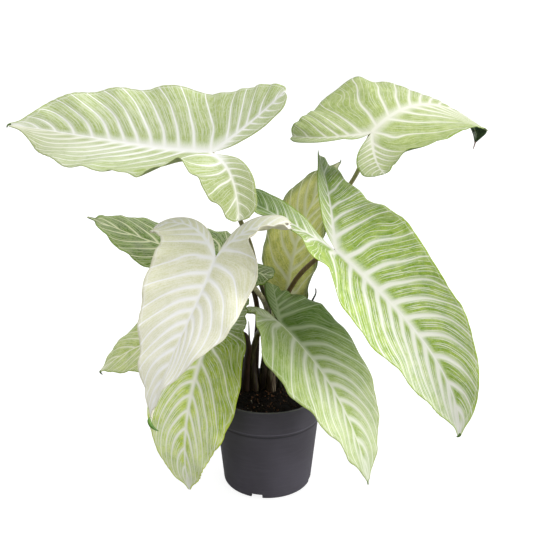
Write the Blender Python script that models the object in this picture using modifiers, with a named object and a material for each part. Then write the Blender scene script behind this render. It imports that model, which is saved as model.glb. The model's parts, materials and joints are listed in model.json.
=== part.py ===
"""A potted Xanthosoma lindenii: nine arrow-shaped leaves on their stalks, a rolled young leaf,
a spear and a dry sheath, in a filled nursery pot.

Metres, +Z up, the origin under the middle of the pot on the face it stands on, -Y the front.
"""
import math

import bmesh
import bpy
import numpy as np
from mathutils import Vector

MM = 0.001
GAP = 0.3 * MM             # kept between pieces that touch

# Pot, from the face it stands on
POT_HEIGHT = 125 * MM
POT_FOOT_RADIUS = 57.5 * MM
POT_FOOT_ROUND = 5 * MM
POT_STEP_HEIGHT = 92 * MM   # where the rim band starts
POT_STEP_RADIUS = 66.4 * MM
POT_BAND = 1.1 * MM         # how far the band stands out from the wall
POT_RIM_RADIUS = 70 * MM
POT_WALL = 1.6 * MM
POT_FLOOR = 2.5 * MM
POT_SIDES = 40
NOTCH_WIDTH = 15 * MM
NOTCH_HEIGHT = 4 * MM
NOTCH_DEPTH = 7 * MM
NOTCH_COUNT = 4
NOTCH_ANGLE = math.radians(-104)

# Soil, with a hole for each stalk
SOIL_EDGE = 116 * MM
SOIL_CROWN = 119.5 * MM
SOIL_RINGS = 6
SOIL_LUMP = 1.0 * MM
HOLE_DEPTH = 22 * MM
HOLE_SIDES = 16

# Where the stalks leave the soil: columns by rows round the crown
CROWN_X = (-27.5 * MM, -17 * MM, -6 * MM, 5 * MM)
CROWN_Y = (9 * MM, 20 * MM, 31 * MM)
STALK_FOOT_RADIUS = 3.6 * MM
STALK_TOP_RADIUS = 2.3 * MM
STALK_POINTS = 13
STALK_ARRIVAL = 22 * MM     # length over which a stalk turns towards its blade

# Blade: thickness of the sheet, of the midrib under it, and the relief between veins
SHEET = 0.9 * MM
VEIN_THICK = 1.3 * MM
MIDRIB_THICK = 2.4 * MM
QUILT = 0.7 * MM
WAVE_COUNT = 4.5

# The flat blade, in units of its length from the hub to the tip. s runs along one half from -1
# at the tip of the basal lobe through 0 at the hub to 1 at the tip of the blade.
LOBE_ANGLE = math.radians(140)
LOBE_LENGTH = 0.44
LOBE_TIP = (LOBE_LENGTH * math.cos(LOBE_ANGLE), LOBE_LENGTH * math.sin(LOBE_ANGLE))
MARGIN_S = (-1.0, -0.90, -0.65, -0.35, 0.0, 0.25, 0.50, 0.70, 0.85, 0.94, 1.0)
MARGIN_U = (LOBE_TIP[0], -0.338, -0.262, -0.110, 0.125, 0.390, 0.640, 0.815, 0.915, 0.962, 1.0)
MARGIN_V = (LOBE_TIP[1], 0.325, 0.345, 0.345, 0.325, 0.292, 0.215, 0.130, 0.058, 0.022, 0.007)
INNER_S = (-1.0, -0.92, -0.70, -0.40, -0.12, 0.0)
INNER_W = (0.0, 0.040, 0.078, 0.070, 0.026, 0.0)
HALF_WIDTH = 0.33

# Rows are vein lines from the rib to the margin, every second one a vein
ROWS = [-1.0, -0.93, -0.80, -0.65, -0.50, -0.35, -0.20, -0.08, 0.0]
ROWS += [0.05 * i for i in range(1, 19)] + [0.94, 0.975, 1.0]
COLUMNS = (0.0, 0.30, 0.66, 1.0)
INNER_COLUMNS = (0.0, 1.0)

# Each leaf: hub in mm, blade length in mm, and its pose in degrees. heading (0 to the right, 90 away
# from the front), pitch and roll are at the hub, followed by their change along the blade.
# For each half: fold up from the midrib, cup across it, and the lobe's length, lift, turn and splay.
LEAVES = {
    "top_left": dict(
        hub=(-64, -33, 431), length=240, width=1.09,
        heading=(156, 41), pitch=(1, 17, -9), roll=(-43, -32),
        left=dict(width=1.07, fold=28, cup=8, lobe=1.11, lobe_cup=48, lift=-45, turn=-24,
                  splay=-26, inner=25, wave=3.0, phase=138),
        right=dict(width=1.0, fold=26, cup=-31, lobe=0.98, lobe_cup=-44, lift=4, turn=-1,
                   splay=-7, inner=22, wave=2.3, phase=169)),
    "top_right": dict(
        hub=(123, 4, 451), length=231, width=1.0,
        heading=(34, 5), pitch=(40, -106, 46), roll=(44, -23),
        left=dict(width=1.25, fold=-2, cup=-29, lobe=0.91, lobe_cup=-51, lift=-17, turn=-21,
                  splay=-30, inner=56, wave=1.7, phase=-141),
        right=dict(width=1.0, fold=-4, cup=24, lobe=0.63, lobe_cup=121, lift=43, turn=-9,
                   splay=-17, inner=7, wave=0.6, phase=91)),
    "right": dict(
        hub=(82, -14, 312), length=267, width=1.02,
        heading=(-36, 1), pitch=(-33, -8, -49), roll=(9, 58),
        left=dict(width=0.92, fold=30, cup=53, lobe=1.2, lobe_cup=-36, lift=-9, turn=52,
                  splay=8, inner=35, wave=2.3, phase=41),
        right=dict(width=1.0, fold=23, cup=-5, lobe=1.09, lobe_cup=27, lift=-10, turn=6,
                   splay=13, inner=35, wave=2.3, phase=72)),
    "front_white": dict(
        hub=(-57, -93, 323), length=191, width=1.02,
        heading=(-115, -36), pitch=(-48, -7, -22), roll=(5, 17),
        left=dict(width=1.02, fold=21, cup=-42, lobe=1.09, lobe_cup=55, lift=-55, turn=-4,
                  splay=-41, inner=0, wave=2.0, phase=57),
        right=dict(width=1.0, fold=19, cup=31, lobe=1.15, lobe_cup=46, lift=-18, turn=-41,
                   splay=-82, inner=-17, wave=2.1, phase=167)),
    "front_left": dict(
        hub=(-67, -38, 217), length=204, width=1.06,
        heading=(-126, 8), pitch=(-50, -43, -16), roll=(7, -19),
        left=dict(width=1.03, fold=12, cup=-21, lobe=0.67, lobe_cup=14, lift=0, turn=-1,
                  splay=0, inner=10, wave=1.9, phase=37),
        right=dict(width=1.0, fold=10, cup=-9, lobe=1.0, lobe_cup=-12, lift=0, turn=0,
                   splay=0, inner=10, wave=2.0, phase=95)),
    "front_right": dict(
        hub=(15, -46, 231), length=215, width=1.06,
        heading=(-35, -12), pitch=(-32, -35, -8), roll=(-3, -4),
        left=dict(width=1.03, fold=14, cup=-2, lobe=0.68, lobe_cup=-7, lift=-8, turn=14,
                  splay=0, inner=12, wave=1.9, phase=-102),
        right=dict(width=1.0, fold=15, cup=-29, lobe=0.46, lobe_cup=21, lift=-32, turn=-5,
                   splay=-3, inner=9, wave=2.1, phase=191)),
    "upright": dict(
        hub=(28, 75, 233), length=195, width=1.0,
        heading=(34, 1), pitch=(85, -39, -10), roll=(-2, 20),
        left=dict(width=1.02, fold=12, cup=-11, lobe=0.6, lobe_cup=-15, lift=0, turn=0,
                  splay=0, inner=10, wave=1.9, phase=-23),
        right=dict(width=1.0, fold=12, cup=-7, lobe=0.5, lobe_cup=-10, lift=0, turn=0,
                   splay=0, inner=10, wave=2.0, phase=81)),
    "back_left": dict(
        hub=(-58, 36, 291), length=175, width=1.04,
        heading=(188, 7), pitch=(8, 29, -11), roll=(-30, 4),
        left=dict(width=1.03, fold=9, cup=-17, lobe=0.99, lobe_cup=-25, lift=25, turn=0,
                  splay=2, inner=20, wave=2.0, phase=-57),
        right=dict(width=1.0, fold=5, cup=-17, lobe=0.58, lobe_cup=-12, lift=0, turn=0,
                   splay=0, inner=10, wave=2.0, phase=83)),
    "low_left": dict(
        hub=(-81, 20, 198), length=164, width=1.02,
        heading=(175, -9), pitch=(-7, -34, -3), roll=(-37, 0),
        left=dict(width=1.01, fold=6, cup=-14, lobe=0.62, lobe_cup=-12, lift=0, turn=0,
                  splay=0, inner=10, wave=2.0, phase=-15),
        right=dict(width=1.0, fold=5, cup=-16, lobe=0.85, lobe_cup=-12, lift=0, turn=0,
                   splay=0, inner=10, wave=1.9, phase=130)),
}

# Each stalk: its column and row in the crown, the points it passes in mm, and how much of the
# blade's upward and forward direction it takes as it arrives.
STALKS = {
    "top_left": dict(foot=(2, 1), arrive=(0.8, 0.25), via=(
        (-1, 21, 185), (1, 26, 229), (-8, 30, 256), (-15, 30, 282), (-21, 19, 310), (-34, -4, 350))),
    "top_right": dict(foot=(3, 2), arrive=(0.9, 0.2), via=(
        (14, 38, 160), (34, 50, 185), (48, 62, 208), (52, 80, 245), (60, 96, 285), (86, 106, 335),
        (111, 97, 377), (118, 50, 410))),
    "right": dict(foot=(3, 1), arrive=(0.8, 0.5), via=(
        (8, 24, 180), (14, 25, 215), (27, 20, 250), (42, 10, 277))),
    "front_white": dict(foot=(3, 0), arrive=(0.8, 0.3), via=((3, 4, 185), (-2, -9, 240), (-15, -36, 271))),
    "front_left": dict(foot=(0, 0), arrive=(1.0, 0.2), via=((-26, 2, 165), (-24, -5, 186), (-29, -11, 203))),
    "front_right": dict(foot=(1, 0), arrive=(0.8, 0.4), via=((-19, 7, 170), (-12, 0, 200))),
    "upright": dict(foot=(2, 2), arrive=(0.25, 0.95), via=((6, 48, 160), (23, 70, 192))),
    "back_left": dict(foot=(1, 1), arrive=(0.6, 0.7), via=((-14, 14, 185), (-13, 10, 232), (-18, 13, 254))),
    "low_left": dict(foot=(0, 1), arrive=(0.8, 0.4), via=((-33, 24, 155),)),
}

# The rolled young leaf, the spear and the dry sheath: points in mm, radii in mm
ROLLED_POINTS = ((16, 20, 123), (34, 21, 172), (53, 23, 217), (58, 26, 237), (62, 30, 250))
ROLLED_RADII = (3.2, 3.2, 3.4, 3.6, 3.6, 3.4, 2.9, 2.3, 1.7, 1.2, 0.7)
SPEAR_POINTS = ((-22.5, 14.5, 123), (-23, 16, 170), (-24, 17, 211))
SPEAR_RADII = (1.7, 1.6, 1.5, 1.3, 1.0, 0.5)
SHEATH_FOOT = (-37.5 * MM, 14.5 * MM)
SHEATH_LENGTH = 54 * MM
SHEATH_SUNK = 15 * MM
SHEATH_WIDTH = 7 * MM
SHEATH_THICK = 0.8 * MM
SHEATH_HOLE_RADIUS = 4.6 * MM

DARK_STALK, OLIVE_STALK, PALE_STALK = (0.040, 0.026, 0.018), (0.075, 0.070, 0.028), (0.26, 0.25, 0.16)
STALK_COLOURS = {
    "top_left": DARK_STALK, "top_right": OLIVE_STALK, "right": DARK_STALK, "front_white": PALE_STALK,
    "front_left": DARK_STALK, "front_right": OLIVE_STALK, "upright": OLIVE_STALK,
    "back_left": DARK_STALK, "low_left": OLIVE_STALK,
}
COLOURS = {
    "pot": (0.055, 0.050, 0.062), "soil": (0.018, 0.012, 0.008),
    "top_left": (0.55, 0.62, 0.42), "top_right": (0.50, 0.58, 0.33), "right": (0.27, 0.44, 0.12),
    "front_white": (0.72, 0.72, 0.58), "front_left": (0.23, 0.38, 0.10),
    "front_right": (0.26, 0.36, 0.16), "upright": (0.25, 0.30, 0.08),
    "back_left": (0.18, 0.33, 0.08), "low_left": (0.25, 0.40, 0.14),
    "leaf_rolled": (0.10, 0.16, 0.05), "spear": (0.20, 0.30, 0.08), "sheath_dry": (0.25, 0.15, 0.06),
}


def clear_scene():
    for thing in list(bpy.data.objects):
        bpy.data.objects.remove(thing, do_unlink=True)


def material(name, colour, roughness=0.5):
    mat = bpy.data.materials.new(name)
    mat.use_nodes = True
    shader = mat.node_tree.nodes["Principled BSDF"]
    shader.inputs["Base Color"].default_value = (*colour, 1.0)
    shader.inputs["Roughness"].default_value = roughness
    return mat


def place(name, mesh, mat, collection):
    """Name an object and give it its one material."""
    thing = bpy.data.objects.new(name, mesh)
    mesh.materials.clear()
    mesh.materials.append(mat)
    collection.objects.link(thing)
    return thing


def evaluated_mesh(thing):
    depsgraph = bpy.context.evaluated_depsgraph_get()
    depsgraph.update()
    return bpy.data.meshes.new_from_object(thing.evaluated_get(depsgraph))


def smooth(x, xs, ys):
    """Cubic through the points (xs, ys) with their own mean slopes."""
    xs, ys = np.asarray(xs, float), np.asarray(ys, float)
    slope = np.gradient(ys, xs)
    i = np.clip(np.searchsorted(xs, x, side="right") - 1, 0, len(xs) - 2)
    h = xs[i + 1] - xs[i]
    t = np.clip((x - xs[i]) / h, 0.0, 1.0)
    rise = t * t * (3 - 2 * t)
    return ((1 - rise) * ys[i] + rise * ys[i + 1]
            + t * (1 - t) ** 2 * h * slope[i] - t * t * (1 - t) * h * slope[i + 1])


def turn(axis, angle, vec):
    """Turn each vector about its unit axis."""
    c, s = np.cos(angle)[..., None], np.sin(angle)[..., None]
    along = np.sum(axis * vec, axis=-1, keepdims=True)
    return vec * c + np.cross(axis, vec) * s + axis * along * (1 - c)


def rib_flat(s, lobe):
    """Point of the midrib (s over 0) or of a lobe's rib (s under 0) in the flat blade."""
    back = np.minimum(s, 0.0) * -LOBE_LENGTH * lobe
    return np.maximum(s, 0.0) + back * math.cos(LOBE_ANGLE), back * math.sin(LOBE_ANGLE)


def margin_flat(s, width, lobe):
    """Point of the outer margin in the flat blade."""
    u, v = smooth(s, MARGIN_S, MARGIN_U), smooth(s, MARGIN_S, MARGIN_V)
    back = np.clip(-s, 0, 1)
    stretch = 1 + (lobe - 1) * np.minimum(1.0, back * 1.6)
    wide = np.where(s > 0, width, 1 + (width - 1) * (1 - back))
    return u * stretch, v * wide * stretch


def row_flat(s, t, width, lobe):
    """Point of a vein line in the flat blade, t from 0 on the rib to 1 on the margin."""
    ru, rv = rib_flat(s, lobe)
    mu, mv = margin_flat(s, width, lobe)
    reach = 0.45 * np.hypot(mu - ru, mv - rv)
    start = np.radians(np.where(s > 0, 84 - 16 * s, 84 - 26 * s))
    a, b, c = (1 - t) ** 2, 2 * t * (1 - t), t * t
    return (a * ru + b * (ru + reach * np.cos(start)) + c * mu,
            a * rv + b * (rv + reach * np.sin(start)) + c * mv)


def frame_at(leaf, s):
    """Forward, up and left directions along the midrib."""
    head, pitch, roll = leaf["heading"], leaf["pitch"], leaf["roll"]
    h = np.radians(head[0] + head[1] * s)
    p = np.radians(pitch[0] + pitch[1] * s + pitch[2] * s ** 3)
    r = np.radians(roll[0] + roll[1] * s)
    forward = np.stack([np.cos(p) * np.cos(h), np.cos(p) * np.sin(h), np.sin(p)], -1)
    level = np.stack([-np.sin(p) * np.cos(h), -np.sin(p) * np.sin(h), np.cos(p)], -1)
    side = np.cross(level, forward)
    c, w = np.cos(r)[..., None], np.sin(r)[..., None]
    return forward, level * c - side * w, side * c + level * w


def walk(start, directions, length):
    """Points reached by following unit directions over a length."""
    step = length / (len(directions) - 1)
    moves = (directions[1:] + directions[:-1]) / 2 * step
    return np.vstack([start, start + np.cumsum(moves, axis=0)])


def at(values, fine, path):
    return np.stack([np.interp(values, fine, path[:, i]) for i in range(3)], -1)


def half_blade(leaf, key, rows, columns, inner_columns):
    """Grids of points for one half: rows of veins outside the ribs, and the lobe's inner strip."""
    side = 1 if key == "left" else -1
    half = leaf[key]
    length = leaf["length"] * MM
    hub = np.array(leaf["hub"]) * MM
    width, lobe = leaf["width"] * half["width"], half["lobe"]
    s = np.asarray(rows, float)
    front = (s >= 0)[:, None]
    fine = np.linspace(0, 1, 81)
    forward, up, left = frame_at(leaf, np.clip(s, 0, 1))
    fold = math.radians(half["fold"])
    across = side * math.cos(fold) * left + math.sin(fold) * up
    normal = -side * math.sin(fold) * left + math.cos(fold) * up
    spine = at(np.clip(s, 0, 1), fine, walk(hub, frame_at(leaf, fine)[0], length))

    # The lobe's own frame starts in the plane of the half blade at the hub and turns with s
    ca, sa = math.cos(LOBE_ANGLE), math.sin(LOBE_ANGLE)
    first = int(np.argmin(np.abs(s)))
    d0 = ca * forward[first] + sa * across[first]
    e0 = sa * forward[first] - ca * across[first]
    n0 = normal[first]

    def lobe_frame(q):
        ease = side * q * q * (2 - q)
        d, e, n = (np.repeat(v[None], len(q), axis=0) for v in (d0, e0, n0))
        splay, lift, roll = (np.radians(half[k]) * ease for k in ("splay", "lift", "turn"))
        d, e = turn(n, splay, d), turn(n, splay, e)
        d, n = turn(e, lift, d), turn(e, lift, n)
        e, n = turn(d, roll, e), turn(d, roll, n)
        return d, e, n

    q = np.clip(-s, 0, 1)
    lobe_path = walk(hub, lobe_frame(fine)[0], LOBE_LENGTH * lobe * length)
    d, e, n = lobe_frame(q)
    origin = np.where(front, spine, at(q, fine, lobe_path))
    along, outward, above = (np.where(front, a, b)
                             for a, b in ((forward, d), (across, e), (normal, n)))

    blend = np.clip((0.15 - s) / 0.55, 0, 1)
    blend = blend * blend * (3 - 2 * blend)
    cup = half["cup"] + (half["lobe_cup"] - half["cup"]) * blend
    cup = np.radians(cup) / (HALF_WIDTH * length)
    ripple = half["wave"] * MM * np.sin(2 * math.pi * WAVE_COUNT * s + math.radians(half["phase"]))
    puff = QUILT * np.array([i % 2 for i in range(len(rows))])
    ru, rv = rib_flat(s, lobe)
    mu, mv = margin_flat(s, width, lobe)
    outer = np.zeros((len(s), len(columns), 3))
    for j, t in enumerate(columns):
        fu, fv = row_flat(s, t, width, lobe)
        du, dv = (fu - ru) * length, (fv - rv) * length
        a = np.where(s >= 0, du, du * ca + dv * sa)
        b = np.where(s >= 0, dv, du * sa - dv * ca)
        reach = np.hypot(du, dv)
        bend = cup * reach
        safe = np.where(np.abs(bend) < 1e-5, 1.0, bend)
        shrink = np.where(np.abs(bend) < 1e-5, 1.0, np.sin(bend) / safe)
        rise = np.where(np.abs(bend) < 1e-5, 0.0, reach * (1 - np.cos(bend)) / safe)
        fade = np.clip(np.hypot(mu - ru, mv - rv) / 0.15, 0, 1) ** 2
        rise = rise + (ripple * t * t + puff * math.sin(math.pi * t)) * fade
        outer[:, j] = origin + (a[:, None] * along + b[:, None] * outward) * shrink[:, None] \
            + above * rise[:, None]

    back = s <= 0
    strip = smooth(s[back], INNER_S, INNER_W) * length * (0.5 + 0.5 * lobe)
    tilt = math.radians(half["inner"]) * np.minimum(1, q[back] * 3)
    inner = np.zeros((int(back.sum()), len(inner_columns), 3))
    for j, t in enumerate(inner_columns):
        flat = (strip * t)[:, None]
        inner[:, j] = origin[back] - outward[back] * flat * np.cos(tilt)[:, None] \
            + above[back] * flat * np.sin(tilt)[:, None] + along[back] * flat * 0.35
    return outer, inner


def grid_faces(mesh, grid, flip, share):
    """Add a grid of points as triangles, each quad split the same way."""
    verts = [[share(point) for point in row] for row in grid]
    for i in range(len(verts) - 1):
        for j in range(len(verts[0]) - 1):
            a, b = verts[i][j], verts[i + 1][j]
            c, d = verts[i + 1][j + 1], verts[i][j + 1]
            for corners in ((a, b, c), (a, c, d)):
                if len(set(corners)) == 3:
                    mesh.faces.new(corners[::-1] if flip else corners)


def blade_mesh(leaf):
    """The blade as an open sheet, with a vertex weight for the thickness under each rib."""
    mesh = bmesh.new()
    weight = mesh.verts.layers.deform.verify()
    known = {}

    def share(point):
        key = tuple(np.round(point, 6))
        if key not in known:
            known[key] = mesh.verts.new(point)
        return known[key]

    for key in ("left", "right"):
        outer, inner = half_blade(leaf, key, ROWS, COLUMNS, INNER_COLUMNS)
        grid_faces(mesh, outer, key == "right", share)
        grid_faces(mesh, inner, key == "left", share)
        for i, s in enumerate(ROWS):
            taper = 1 - 0.55 * abs(s)
            for j, t in enumerate(COLUMNS):
                thick = SHEET
                if i % 2 == 0:
                    thick = VEIN_THICK + (SHEET - VEIN_THICK) * t
                if j == 0:
                    thick = max(SHEET, MIDRIB_THICK * taper)
                vert = share(outer[i][j])
                vert[weight][0] = max(vert[weight].get(0, 0.0), thick / MIDRIB_THICK)
        for row in inner:
            for point in row:
                vert = share(point)
                vert[weight][0] = max(vert[weight].get(0, 0.0), SHEET / MIDRIB_THICK)
    data = bpy.data.meshes.new("blade")
    mesh.to_mesh(data)
    mesh.free()
    return data


def make_blade(name, leaf, mat, collection):
    blade = place(name, blade_mesh(leaf), mat, collection)
    blade.vertex_groups.new(name="thickness")
    shell = blade.modifiers.new("shell", "SOLIDIFY")
    shell.thickness = MIDRIB_THICK
    shell.offset = -1.0
    shell.vertex_group = "thickness"
    shell.use_rim = True
    return blade


def stalk_path(name):
    """Points from the foot in the soil to the underside of the blade's hub."""
    leaf, stalk = LEAVES[name], STALKS[name]
    foot = Vector((CROWN_X[stalk["foot"][0]], CROWN_Y[stalk["foot"][1]], SOIL_CROWN + 4 * MM))
    forward, up, _ = (Vector(v[0]) for v in frame_at(leaf, np.array([0.0])))
    heading = (up * stalk["arrive"][0] + forward * stalk["arrive"][1]).normalized()
    slant = math.sqrt(max(0.0, 1 - heading.dot(up) ** 2))
    hub = Vector(leaf["hub"]) * MM
    end = hub - up * (MIDRIB_THICK + GAP + STALK_TOP_RADIUS * slant)
    points = [foot] + [Vector(p) * MM for p in stalk["via"]] + [end - heading * STALK_ARRIVAL, end]
    return follow(points, heading, STALK_POINTS)


def follow(points, end_direction, count):
    """Even points on a smooth curve that starts straight up and ends along a direction."""
    points = np.array([tuple(p) for p in points])
    chords = np.linalg.norm(np.diff(points, axis=0), axis=1)
    at_length = np.concatenate([[0], np.cumsum(chords)])
    slopes = np.gradient(points, at_length, axis=0)
    slopes[0] = (0, 0, 1)
    slopes[-1] = tuple(end_direction)
    where = np.linspace(0, at_length[-1], count)
    i = np.clip(np.searchsorted(at_length, where, side="right") - 1, 0, len(points) - 2)
    h = chords[i][:, None]
    t = ((where - at_length[i]) / chords[i])[:, None]
    rise = t * t * (3 - 2 * t)
    return ((1 - rise) * points[i] + rise * points[i + 1]
            + t * (1 - t) ** 2 * h * slopes[i] - t * t * (1 - t) * h * slopes[i + 1])


def make_tube(name, path, radii, mat, collection):
    """A round stem along a path, with a straight foot in the soil below its first point."""
    foot = np.array([path[0][0], path[0][1], SOIL_CROWN - HOLE_DEPTH + GAP])
    points = [foot] + [np.array(p) for p in path]
    radii = [radii[0]] + list(radii)
    curve = bpy.data.curves.new(name, "CURVE")
    curve.dimensions = "3D"
    curve.bevel_depth = 1.0
    curve.bevel_resolution = 2
    curve.use_fill_caps = True
    spline = curve.splines.new("POLY")
    spline.points.add(len(points) - 1)
    for knot, point, radius in zip(spline.points, points, radii):
        knot.co = (*point, 1.0)
        knot.radius = radius
    guide = bpy.data.objects.new(name + "_guide", curve)
    collection.objects.link(guide)
    mesh = evaluated_mesh(guide)
    bpy.data.objects.remove(guide, do_unlink=True)
    shape = bmesh.new()
    shape.from_mesh(mesh)
    bmesh.ops.remove_doubles(shape, verts=shape.verts, dist=1e-6)
    bmesh.ops.recalc_face_normals(shape, faces=shape.faces)
    shape.to_mesh(mesh)
    shape.free()
    return place(name, mesh, mat, collection)


def turned(name, profile, sides, mat, collection):
    """A solid of revolution about Z from (radius, z) points that run down its outer side."""
    shape = bmesh.new()
    verts = [shape.verts.new((r, 0, z)) for r, z in profile]
    for a, b in zip(verts, verts[1:]):
        shape.edges.new((a, b))
    mesh = bpy.data.meshes.new(name)
    shape.to_mesh(mesh)
    shape.free()
    thing = place(name, mesh, mat, collection)
    screw = thing.modifiers.new("turn", "SCREW")
    screw.steps = sides
    screw.render_steps = sides
    screw.use_merge_vertices = True
    screw.merge_threshold = 1e-5
    return thing


def settle(thing):
    """Replace the object's mesh by what its modifiers make."""
    mesh = evaluated_mesh(thing)
    thing.modifiers.clear()
    thing.data = mesh


def cut(thing, cutters):
    """Subtract a collection of cutters, then put them out of sight."""
    knife = thing.modifiers.new("cut", "BOOLEAN")
    knife.operation = "DIFFERENCE"
    knife.operand_type = "COLLECTION"
    knife.collection = cutters
    knife.solver = "EXACT"
    for cutter in cutters.objects:
        cutter.hide_render = True
        cutter.display_type = "WIRE"


def make_pot(collection, cutters):
    rim_r = POT_RIM_RADIUS
    inner_foot = POT_FOOT_RADIUS - POT_WALL
    inner_step = POT_STEP_RADIUS - POT_WALL + POT_BAND
    corner = [(POT_FOOT_RADIUS - POT_FOOT_ROUND * (1 - math.sin(a)),
               POT_FOOT_ROUND * (1 - math.cos(a))) for a in (math.radians(x) for x in (60, 30))]
    profile = [(0, POT_FLOOR), (inner_foot - 4 * MM, POT_FLOOR), (inner_foot, POT_FLOOR + 4 * MM),
               (inner_step - POT_BAND, POT_STEP_HEIGHT - 1 * MM), (inner_step, POT_STEP_HEIGHT + 2 * MM),
               (rim_r - 2.4 * MM, POT_HEIGHT - 1.5 * MM), (rim_r - 2.0 * MM, POT_HEIGHT),
               (rim_r - 0.5 * MM, POT_HEIGHT), (rim_r, POT_HEIGHT - 0.8 * MM),
               (rim_r - 0.4 * MM, POT_HEIGHT - 3.2 * MM),
               (POT_STEP_RADIUS + POT_BAND, POT_STEP_HEIGHT + 1.2 * MM),
               (POT_STEP_RADIUS, POT_STEP_HEIGHT), (POT_FOOT_RADIUS, POT_FOOT_ROUND)]
    profile += corner + [(POT_FOOT_RADIUS - POT_FOOT_ROUND, 0), (0, 0)]
    pot = turned("pot", profile, POT_SIDES, material("pot", COLOURS["pot"], 0.55), collection)
    settle(pot)
    for i in range(NOTCH_COUNT):
        angle = NOTCH_ANGLE + i * 2 * math.pi / NOTCH_COUNT
        shape = bmesh.new()
        bmesh.ops.create_cube(shape, size=1.0)
        bmesh.ops.scale(shape, vec=(NOTCH_DEPTH * 2, NOTCH_WIDTH, NOTCH_HEIGHT * 2), verts=shape.verts)
        mesh = bpy.data.meshes.new("notch")
        shape.to_mesh(mesh)
        shape.free()
        notch = bpy.data.objects.new(f"notch_{i + 1}", mesh)
        notch.location = (POT_FOOT_RADIUS * math.cos(angle), POT_FOOT_RADIUS * math.sin(angle), 0)
        notch.rotation_euler = (0, 0, angle)
        cutters.objects.link(notch)
    cut(pot, cutters)
    return pot


def soil_height(x, y, random):
    """Low mound with small lumps."""
    edge = min(1.0, math.hypot(x, y) / POT_STEP_RADIUS)
    return SOIL_CROWN - (SOIL_CROWN - SOIL_EDGE) * edge ** 2 + SOIL_LUMP * (random.random() - 0.5)


def make_soil(feet, collection, cutters):
    random = np.random.default_rng(7)
    inset = POT_WALL + GAP * 1.2
    low, step = POT_FLOOR + GAP, POT_STEP_HEIGHT
    band_r = POT_STEP_RADIUS + POT_BAND - inset
    top_r = band_r + 1.6 * MM
    wall = [(POT_FOOT_RADIUS - inset - 4.4 * MM, low),
            (POT_FOOT_RADIUS - inset - 0.2 * MM, low + 4.2 * MM),
            (POT_STEP_RADIUS - inset - 0.2 * MM, step - 1 * MM), (band_r - 0.3 * MM, step + 3 * MM),
            (top_r - 0.6 * MM, SOIL_EDGE)]
    sides = POT_SIDES // 2
    shape = bmesh.new()
    centre = shape.verts.new((0, 0, soil_height(0, 0, random)))
    rings = []
    for k in range(1, SOIL_RINGS + 1):
        r = wall[-1][0] * k / SOIL_RINGS
        ring = []
        for i in range(sides):
            a = 2 * math.pi * i / sides
            x, y = r * math.cos(a), r * math.sin(a)
            z = SOIL_EDGE if k == SOIL_RINGS else soil_height(x, y, random)
            ring.append(shape.verts.new((x, y, z)))
        rings.append(ring)
    for r, z in reversed(wall[:-1]):
        rings.append([shape.verts.new((r * math.cos(2 * math.pi * i / sides),
                                       r * math.sin(2 * math.pi * i / sides), z))
                      for i in range(sides)])
    for i in range(sides):
        shape.faces.new((centre, rings[0][i], rings[0][(i + 1) % sides]))
    for inner, outer in zip(rings, rings[1:]):
        for i in range(sides):
            j = (i + 1) % sides
            shape.faces.new((inner[i], outer[i], outer[j], inner[j]))
    shape.faces.new(list(reversed(rings[-1])))
    bmesh.ops.triangulate(shape, faces=shape.faces)
    mesh = bpy.data.meshes.new("soil")
    shape.to_mesh(mesh)
    shape.free()
    soil = place("soil", mesh, material("soil", COLOURS["soil"], 0.95), collection)
    for i, (x, y, radius) in enumerate(feet):
        hole = bmesh.new()
        wide = (radius + GAP) / math.cos(math.pi / HOLE_SIDES)
        bmesh.ops.create_cone(hole, cap_ends=True, segments=HOLE_SIDES, radius1=wide, radius2=wide,
                              depth=2 * HOLE_DEPTH)
        mesh = bpy.data.meshes.new("hole")
        hole.to_mesh(mesh)
        hole.free()
        cutter = bpy.data.objects.new(f"hole_{i + 1}", mesh)
        cutter.location = (x, y, SOIL_CROWN)
        cutters.objects.link(cutter)
    cut(soil, cutters)
    return soil


def make_sheath(collection):
    """A dry bract, a thin gutter with its foot in the soil."""
    mesh = bmesh.new()
    rows = []
    for k in range(7):
        t = k / 6
        z = SOIL_CROWN - SHEATH_SUNK + SHEATH_LENGTH * t
        x = SHEATH_FOOT[0] - 4 * MM * max(0.0, t - 0.3) ** 2
        wide = SHEATH_WIDTH / 2 * math.sin(math.pi * (0.22 + 0.74 * t)) + 0.5 * MM
        deep = 0.45 * wide
        rows.append([mesh.verts.new((x + deep, SHEATH_FOOT[1] - wide, z)),
                     mesh.verts.new((x - deep, SHEATH_FOOT[1] - 0.45 * wide, z)),
                     mesh.verts.new((x - deep, SHEATH_FOOT[1] + 0.45 * wide, z)),
                     mesh.verts.new((x + deep, SHEATH_FOOT[1] + wide, z))])
    for low, high in zip(rows, rows[1:]):
        for j in range(3):
            mesh.faces.new((low[j], low[j + 1], high[j + 1]))
            mesh.faces.new((low[j], high[j + 1], high[j]))
    data = bpy.data.meshes.new("sheath")
    mesh.to_mesh(data)
    mesh.free()
    sheath = place("sheath_dry", data, material("sheath_dry", COLOURS["sheath_dry"], 0.8), collection)
    shell = sheath.modifiers.new("shell", "SOLIDIFY")
    shell.thickness = SHEATH_THICK
    shell.offset = 0.0
    return sheath


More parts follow.
